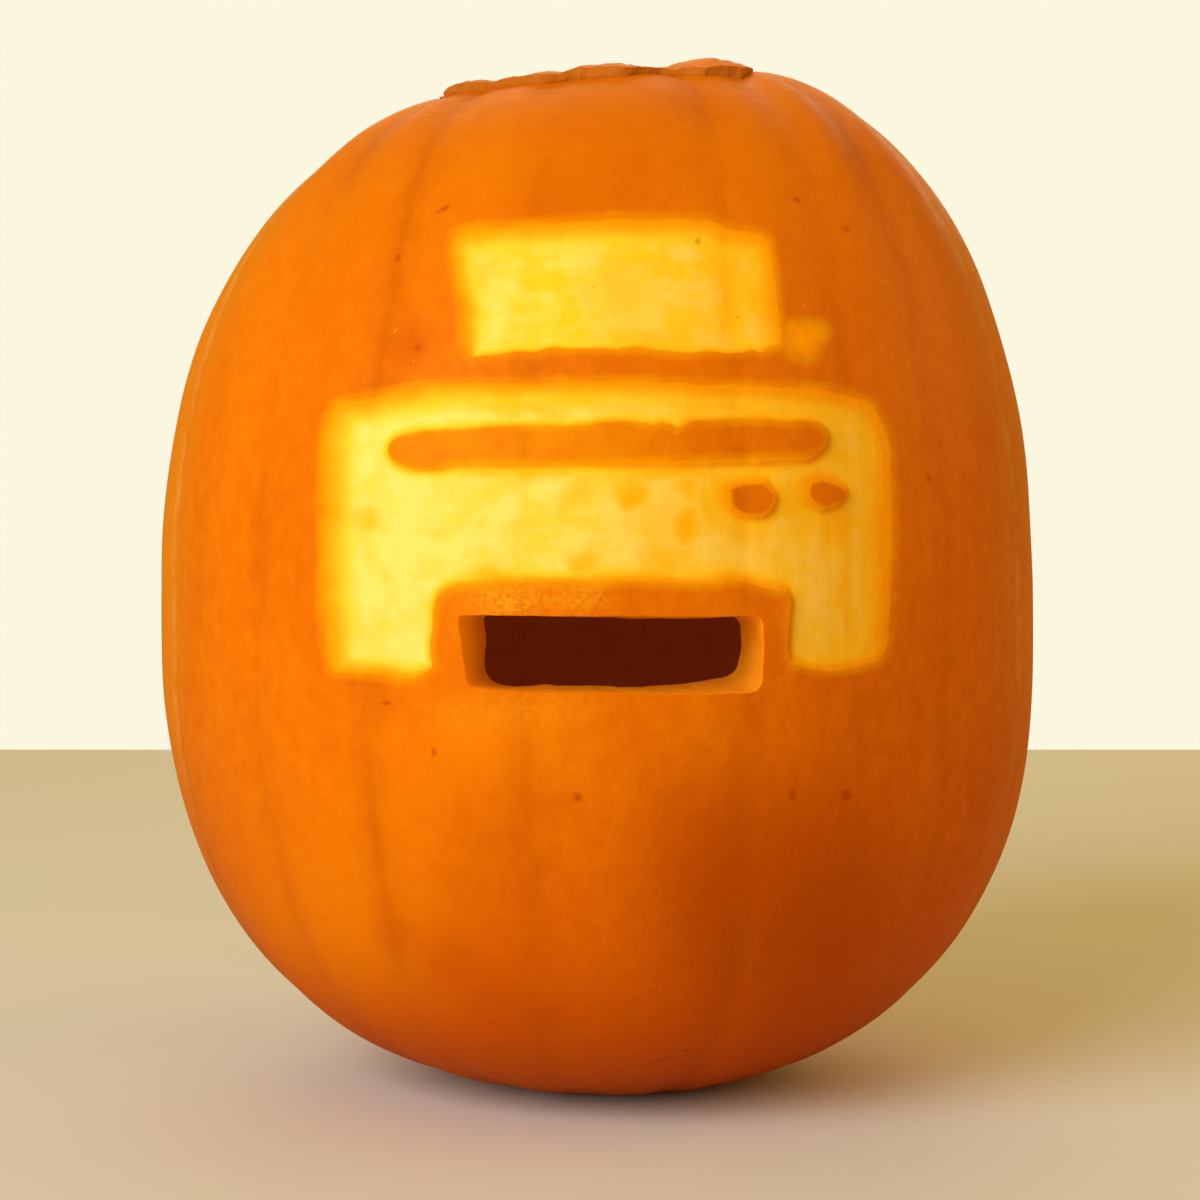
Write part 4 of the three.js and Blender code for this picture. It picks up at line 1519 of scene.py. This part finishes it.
def skin_colour(tree, place, height, dapple, grain, soft):
    """The skin's colour, with painted shade in its grooves, its marks and painted glints, and
    how light it is.
    """
    on_rib = stored(tree, "rib_place", "Vector")
    broad = clouds(tree, on_rib, RIB_CLOUDS, 1, 0.35, 0.65, (1, 1, 0.6))
    share = weighed(tree, [(broad, 0.4), (dapple, 0.4), (grain, 0.2)])
    tone_and_light = stored(tree, "tone_and_light")
    wobble = times(tree, dapple, 1.2)
    from_groove = calc(tree, "ADD", stored(tree, "groove"), wobble)
    # painted shade along each groove: a thin dark line and a wider shade round it
    line = ramp(tree, from_groove, *DARK_LINE, 0.0, 0.22)
    shade = ramp(tree, from_groove, *DARK_SHADE, 0.0, 0.38)
    groove = times(tree, calc(tree, "ADD", line, shade), stored(tree, "groove_shows"))
    groove = times(tree, groove, ramp(tree, broad, 0.0, 1.0, 1.0, 0.35))
    coats = [
        (share, SKIN_LIGHT),
        (ramp(tree, height, *CROWN_TONE, 0.0, 0.6), SKIN_CROWN),
        # painted shade towards the base
        (ramp(tree, height, *BASE_SHADE_HEIGHTS, 0.0, 0.85), SKIN_BASE_SHADE),
        # broad patches, partly uneven ripeness and partly painted light and painted shade
        (ramp(tree, tone_and_light, 0.0, 1.0), SKIN_BRIGHT),
        (ramp(tree, tone_and_light, 0.0, -1.0), SKIN_RED),
        (groove, GROOVE_PAINTED_SHADE),
        (times(tree, soft["X"], ramp(tree, dapple, 0.0, 1.0, 0.6, 1.0)), BRUISE),
        (marks(tree, place, grain, SCARS, 0.6, 0.25), SCAR),
        # the pale nicks are real marks; the glints after them are painted highlights
        (marks(tree, place, grain, NICKS, 0.6), NICK_AND_HIGHLIGHT_COLOUR),
        (times(tree, soft["Y"], ramp(tree, grain, 0.1, 0.9, 0.35, 1.0)), NICK_AND_HIGHLIGHT_COLOUR),
    ]
    return layered(tree, SKIN_DEEP, coats), share


# %% [markdown]
# Bare flesh is never one yellow. The scraper left upright strokes on the right and fine
# scratches across, and a little of the orange layer here and there. The flesh is palest
# in the deep middle of a field and goes over to orange at its edges. It is also paler
# on the lit left and more ochre on the shaded right, partly its own tone and partly
# painted light and painted shade.


# %% The colour of the flesh
def flesh_colour(tree, place, parts, dapple, layer, spots):
    """The colour of bare flesh, and the strokes of the scraper."""
    right, height = parts["X"], parts["Z"]
    cloud = clouds(tree, place, FLESH_CLOUDS, 2, 0.36, 0.64)
    strokes = clouds(tree, place, STROKES, 1, 0.3, 0.7, (1, 1, 0.14))
    to_right = ramp(tree, right, *RIGHT_SIDE, 0.1, 0.4)
    scratches = clouds(tree, place, SCRATCHES, 2, 0.32, 0.68, (0.3, 1, 1))
    share = weighed(tree, [(cloud, 0.55), (dapple, 0.15), (scratches, 0.25)])
    share = calc(tree, "ADD", share, times(tree, strokes, to_right))
    share = calc(tree, "ADD", share, ramp(tree, right, *LEFT_SIDE, 0.0, 0.3))
    share = calc(tree, "SUBTRACT", share, ramp(tree, right, *RIGHT_SIDE, 0.0, 0.35))
    share = calc(tree, "SUBTRACT", share, ramp(tree, height, *SHEET_HEIGHT, 0.0, 0.25))
    deep = ramp(tree, layer, FLESH_LAYER * 0.7, FLESH_LAYER * DEEPEST, 0.1, 1.0)
    share = times(tree, share, deep)
    shift = times(tree, calc(tree, "SUBTRACT", dapple, 0.5), 0.35)
    spots = times(tree, spots, calc(tree, "ADD", shift, 1.0))
    share = times(tree, share, ramp(tree, spots, 0.0, 0.6, 1.0, 0.0))
    coats = [
        (share, FLESH_PALE),
        # more ochre toward the right, partly its own tone and partly painted shade
        (ramp(tree, right, *OCHRE_AND_SHADE_SIDE, 0.0, 0.55), FLESH_OCHRE),
        (spots, FLESH_OCHRE),
        (marks(tree, place, dapple, FIBRES, 0.6), SCAR),
    ]
    return layered(tree, FLESH_YELLOW, coats), strokes


def shader_tree(name):
    """A new material with only its surface shader: the material, its tree, the shader."""
    material = bpy.data.materials.new(name)
    material.use_nodes = True
    material.cycles.emission_sampling = "NONE"  # its own faint light needs no search
    material.cycles.use_bump_map_correction = False  # it would darken the soft slopes
    tree = material.node_tree
    return material, tree, tree.nodes["Principled BSDF"]


GLOSS = 0.14
GLOSS_TINT = (1.0, 0.5, 0.1, 1)  # by the wax and the juice that the light passes through
SOAKED_SHARE = 0.85  # how much the light inside the flesh evens out the slopes


def softened_direction(tree):
    """The direction of the surface, bent toward that of the whole skin."""
    true = node(tree, "ShaderNodeNewGeometry").outputs["Normal"]
    whole = {"Vector": stored(tree, "skin_direction", "Vector")}
    to_world = {"vector_type": "NORMAL", "convert_from": "OBJECT", "convert_to": "WORLD"}
    whole = node(tree, "ShaderNodeVectorTransform", whole, **to_world).outputs["Vector"]
    whole = scaled(tree, whole, (SOAKED_SHARE,) * 3)
    true = scaled(tree, true, (1 - SOAKED_SHARE,) * 3)
    total = node(tree, "ShaderNodeVectorMath", {0: true, 1: whole}, operation="ADD")
    total = node(tree, "ShaderNodeVectorMath", {0: total.outputs[0]}, operation="NORMALIZE")
    return total.outputs[0]


def finish(tree, shader, colour, roughness, height, direction=None):
    """Links a colour, a roughness and a height in millimetres to the shader."""
    bump = node(tree, "ShaderNodeBump", {"Height": height, "Distance": MM, "Strength": 1.0})
    if direction:
        tree.links.new(direction, bump.inputs["Normal"])
    tree.links.new(colour, shader.inputs["Base Color"])
    tree.links.new(roughness, shader.inputs["Roughness"])
    tree.links.new(bump.outputs["Normal"], shader.inputs["Normal"])
    shader.inputs["Specular IOR Level"].default_value = GLOSS
    shader.inputs["Specular Tint"].default_value = GLOSS_TINT


print("parts of the outer material ready")

# %% [markdown]
# ## Putting the outside together
#
# Over the skin come the painted glow beside bare flesh, the painted reflection on the
# sides and the painted highlights on the groove shoulders, and then the rind's layers
# choose between skin and flesh. The lid's scar has a cork of its own, dry and crusty.
# Light also runs through the flesh and comes out of its slopes, which a ray tracer would
# need very many rays for. A faint emission gives the same softness.


# %% The outer material
def build_outside(name, with_cork=False):
    """Skin outside, flesh where it was scraped, and cork on the lid's scar."""
    material, tree, shader = shader_tree(name)
    place = node(tree, "ShaderNodeTexCoord").outputs["Object"]
    parts = node(tree, "ShaderNodeSeparateXYZ", {0: place}).outputs
    soft = node(tree, "ShaderNodeSeparateXYZ", {0: stored(tree, "soft_marks", "Vector")})
    dapple = clouds(tree, place, DAPPLES, 2, 0.33, 0.67, (1, 1, 0.7))
    grain = clouds(tree, place, GRAIN, 2, 0.25, 0.75)
    skin, light = skin_colour(tree, place, parts["Z"], dapple, grain, soft.outputs)
    layer = stored(tree, "layer")
    spots = soft.outputs["Z"]
    flesh, strokes = flesh_colour(tree, place, parts, dapple, layer, spots)
    thin = clouds(tree, place, THIN_SPOTS, 2, 0.3, 0.7, (0.5, 1, 1))
    glow = ramp(tree, layer, -GLOW_REACH, 0.0, 0.0, 0.85)
    glow = times(tree, glow, ramp(tree, thin, 0.0, 1.0, 0.45, 1.0))
    # the shoulder mask is a painted highlight along the side grooves
    shoulder = ramp(tree, stored(tree, "groove"), *SHOULDER_HIGHLIGHT_REACH)
    shoulder = times(tree, shoulder, stored(tree, "shoulder_highlight"))
    shoulder = times(tree, shoulder, ramp(tree, thin, 0.1, 0.8, 0.15, 1.0))
    # painted glow, painted reflection on the sides and painted shoulder highlights over the
    # skin
    coats = [(glow, SKIN_GLOW), (stored(tree, "side_reflection"), SIDE_REFLECTION_COLOUR), (shoulder, SHOULDER_HIGHLIGHT_COLOUR)]
    skin = layered(tree, skin, coats)
    inputs = {"Layer": layer, "Waver": thin}
    inputs.update({"Skin": skin, "Under skin": UNDER_SKIN, "Flesh": flesh})
    layers = placed(tree, rind_layers, inputs)
    colour, bare = layers["Colour"], layers["Bare"]
    scraped = times(tree, strokes, ramp(tree, layer, 0.0, 1.0))
    height = weighed(tree, [(grain, 0.03), (dapple, 0.06), (scraped, 0.05)])
    roughness = ramp(tree, light, 0.2, 0.8, 0.46, 0.38)
    roughness = calc(tree, "ADD", roughness, times(tree, bare, 0.12))
    direction = None if with_cork else softened_direction(tree)
    if with_cork:
        cork = stored(tree, "cork")
        crust = clouds(tree, place, CRUST, 5)
        colour = mixed(tree, cork, colour, mixed(tree, crust, CORK_DARK, CORK))
        roughness = calc(tree, "ADD", roughness, times(tree, cork, 0.4))
        crusty = times(tree, crust, cork)
        height = calc(tree, "ADD", height, times(tree, crusty, 0.5))
    finish(tree, shader, colour, roughness, height, direction)
    coats = [(bare, SLOPE_LIGHT), (layers["Flesh"], FLESH_LIGHT)]
    tree.links.new(layered(tree, NO_LIGHT, coats), shader.inputs["Emission Color"])
    shader.inputs["Emission Strength"].default_value = 1.0
    return material


outside = build_outside("pumpkin_skin")
crown_outside = build_outside("crown_skin", with_cork=True)
print("materials:", outside.name, crown_outside.name)

# %% [markdown]
# ## Cut walls and the scooped inside
#
# The walls of the slot and the hole show the layers of the rind from the side. The knife
# left fine streaks across them. The inside is deeper in colour and stringy, because the
# fibres that held the seeds were torn off there. Light soaks through the wet rind, so
# neither is ever black: a faint emission stands for that light.


# %% The walls and the inside
def build_wall(name, flesh_first, flesh_second, fibre, bump_height, soaked_light, fading, rim):
    """A material for flesh that was cut or scooped, whose colour follows the depth."""
    material, tree, shader = shader_tree(name)
    place = node(tree, "ShaderNodeTexCoord").outputs["Object"]
    streaks = clouds(tree, place, STREAKS, 3, 0.3, 0.7, fibre)
    share = weighed(tree, [(streaks, 0.5), (clouds(tree, place, THIN_SPOTS, 2), 0.5)])
    inputs = {"Layer": stored(tree, "layer"), "Waver": streaks}
    inputs.update({"Skin": rim[0], "Under skin": rim[1]})
    inputs["Flesh"] = mixed(tree, share, flesh_first, flesh_second)
    colour = placed(tree, rind_layers, inputs)["Colour"]
    height = times(tree, share, bump_height)
    finish(tree, shader, colour, ramp(tree, streaks, 0, 1, 0.42, 0.52), height)
    shader.inputs["Emission Strength"].default_value = 1.0
    shader.inputs["Emission Color"].default_value = soaked_light
    if fading:
        near_skin, near_hollow = [tuple(c * share for c in soaked_light) for share in fading]
        depth = ramp(tree, stored(tree, "layer"), 1.0, WALL - 2)
        fading_light = mixed(tree, depth, near_skin, near_hollow)
        tree.links.new(fading_light, shader.inputs["Emission Color"])
    return material


WALL_FLESH = (0.44, 0.165, 0.004, 1)
WALL_FLESH_PALE = (0.50, 0.22, 0.012, 1)
# The cut walls of the hand hole and the lid are a darker, browner orange than those of the
# slot.
HOLE_CUT_FLESH = (0.50, 0.12, 0.004, 1)
HOLE_CUT_FLESH_PALE = (0.72, 0.26, 0.016, 1)
HOLE_CUT_RIM = (0.49, 0.165, 0.018, 1)
INSIDE_FLESH = (0.70, 0.24, 0.012, 1)
INSIDE_FLESH_PALE = (0.80, 0.36, 0.04, 1)
WALL_LIGHT = (0.36, 0.072, 0.0008, 1)
INSIDE_LIGHT = (0.025, 0.0055, 0.0008, 1)
RIM_LIGHT = (0.10, 0.024, 0.0012, 1)
WALL_RIM = (0.74, 0.25, 0.006, 1)
FRESH = (SKIN_DEEP, WALL_RIM)
HOLE_CUT_LAYERS = (HOLE_CUT_RIM, HOLE_CUT_FLESH)
slot_wall = build_wall(
    "slot_wall", WALL_FLESH, WALL_FLESH_PALE, (1, 0.2, 1), 0.12, WALL_LIGHT, (1.1, 0.5), FRESH
)
hole_wall = build_wall(
    "hole_wall", HOLE_CUT_FLESH, HOLE_CUT_FLESH_PALE, (1, 1, 0.5), 0.7, RIM_LIGHT, (1, 0.5), HOLE_CUT_LAYERS
)
scooped = build_wall(
    "scooped", INSIDE_FLESH, INSIDE_FLESH_PALE, (1, 1, 0.2), 0.8, INSIDE_LIGHT, None, FRESH
)
print("materials:", slot_wall.name, hole_wall.name, scooped.name)

# %% [markdown]
# ## Which finish goes where
#
# Each face gets its finish by the part that it came from. The Boolean cuts kept that
# number, so nothing has to be picked out by hand.


# %% Give each face its finish
def finish_by_part(piece, outer):
    """The finishes in the order of the part numbers."""
    mesh = piece.data
    mesh.materials.clear()
    for material in (outer, scooped, slot_wall, hole_wall):
        mesh.materials.append(material)
    mesh.polygons.foreach_set("material_index", part_numbers(mesh))
    mesh.update()


finish_by_part(rind, outside)
finish_by_part(lid, crown_outside)
rind.name = "pumpkin_rind"
lid.name = "pumpkin_lid"
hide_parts("shell")
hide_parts("lid")
for piece in (rind, lid):
    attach(piece, "root")
print("pieces:", rind.name, lid.name)

# %% [markdown]
# ## Floor and studio light
#
# A big soft light stands in front on the left, as a window would, so the right side and
# the base fall into a warm shade. Two weak lights at the side and behind keep the other
# sides readable, and the surroundings fill the shadows with a warm light.

# %% Floor, light and surroundings
FLOOR_SIZE = 1.62
FLOOR_COLOUR = (0.78, 0.84, 0.98, 1)
FLOOR_BOUNCE_COLOUR = (0.42, 0.32, 0.21, 1)
SEEN_COLOUR = (0.97, 0.93, 0.74, 1)
SEEN_STRENGTH = 1.0
FILL_COLOUR = (1.0, 0.66, 0.11, 1)
FILL_STRENGTH = 0.40
LIGHT_AIM = (0, 0, 0.14)
LIGHT_DISTANCE = 2.2

# Each light is (azimuth from the front, height in degrees, size, power, colour).
LIGHTS = {
    "key": (-36, 22, 1.5, 40, (1.0, 0.98, 0.85)),
    "side": (100, 25, 1.4, 9, (1.0, 0.50, 0.15)),
    "back": (175, 30, 1.6, 10, (1.0, 0.75, 0.45)),
}


def build_floor():
    """A plain pale floor."""
    half = FLOOR_SIZE / 2
    corners = [(-half, -half, 0), (half, -half, 0), (half, half, 0), (-half, half, 0)]
    mesh = bpy.data.meshes.new("floor")
    mesh.from_pydata(corners, [], [(0, 1, 2, 3)])
    floor = bpy.data.objects.new("floor", mesh)
    bpy.context.scene.collection.objects.link(floor)
    material, tree, shader = shader_tree("floor_paint")
    seen = node(tree, "ShaderNodeLightPath").outputs["Is Camera Ray"]
    colour = mixed(tree, seen, FLOOR_BOUNCE_COLOUR, FLOOR_COLOUR)
    tree.links.new(colour, shader.inputs["Base Color"])
    shader.inputs["Roughness"].default_value = 0.75
    mesh.materials.append(material)
    return floor


def build_light(name, azimuth, height, size, power, colour):
    """A soft square light that looks at the middle of the fruit."""
    lamp = bpy.data.lights.new(name, "AREA")
    lamp.size = size
    lamp.energy = power
    lamp.color = colour
    light = bpy.data.objects.new(name, lamp)
    azimuth, height = math.radians(azimuth), math.radians(height)
    level = math.cos(height)
    towards = Vector((level * math.sin(azimuth), -level * math.cos(azimuth), math.sin(height)))
    light.location = Vector(LIGHT_AIM) + towards * LIGHT_DISTANCE
    light.rotation_euler = towards.to_track_quat("Z", "Y").to_euler()
    bpy.context.scene.collection.objects.link(light)


floor = build_floor()
floor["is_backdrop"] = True
for name, settings in LIGHTS.items():
    build_light(name, *settings)


def build_surroundings():
    """A pale wall to look at, and a dimmer, warmer light from all round."""
    world = bpy.data.worlds.new("surroundings")
    world.use_nodes = True
    tree = world.node_tree
    seen = node(tree, "ShaderNodeLightPath").outputs["Is Camera Ray"]
    background = tree.nodes["Background"]
    strength = ramp(tree, seen, 0, 1, FILL_STRENGTH, SEEN_STRENGTH)
    tree.links.new(mixed(tree, seen, FILL_COLOUR, SEEN_COLOUR), background.inputs["Color"])
    tree.links.new(strength, background.inputs["Strength"])
    return world


bpy.context.scene.world = build_surroundings()
bpy.context.scene.view_settings.view_transform = "Standard"
print("lights:", *LIGHTS)

# %% [markdown]
# ## The sizes
#
# The size of the dressed pumpkin is printed beside that of its frame.

# %% Print the sizes and finish
visual_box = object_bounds()
sizes = {
    "cad": [list(corner) for corner in cad_box],
    "visual": [list(corner) for corner in visual_box],
}
for name, box in sizes.items():
    print(name, "box, mm:", [[round(c / MM, 1) for c in corner] for corner in box])
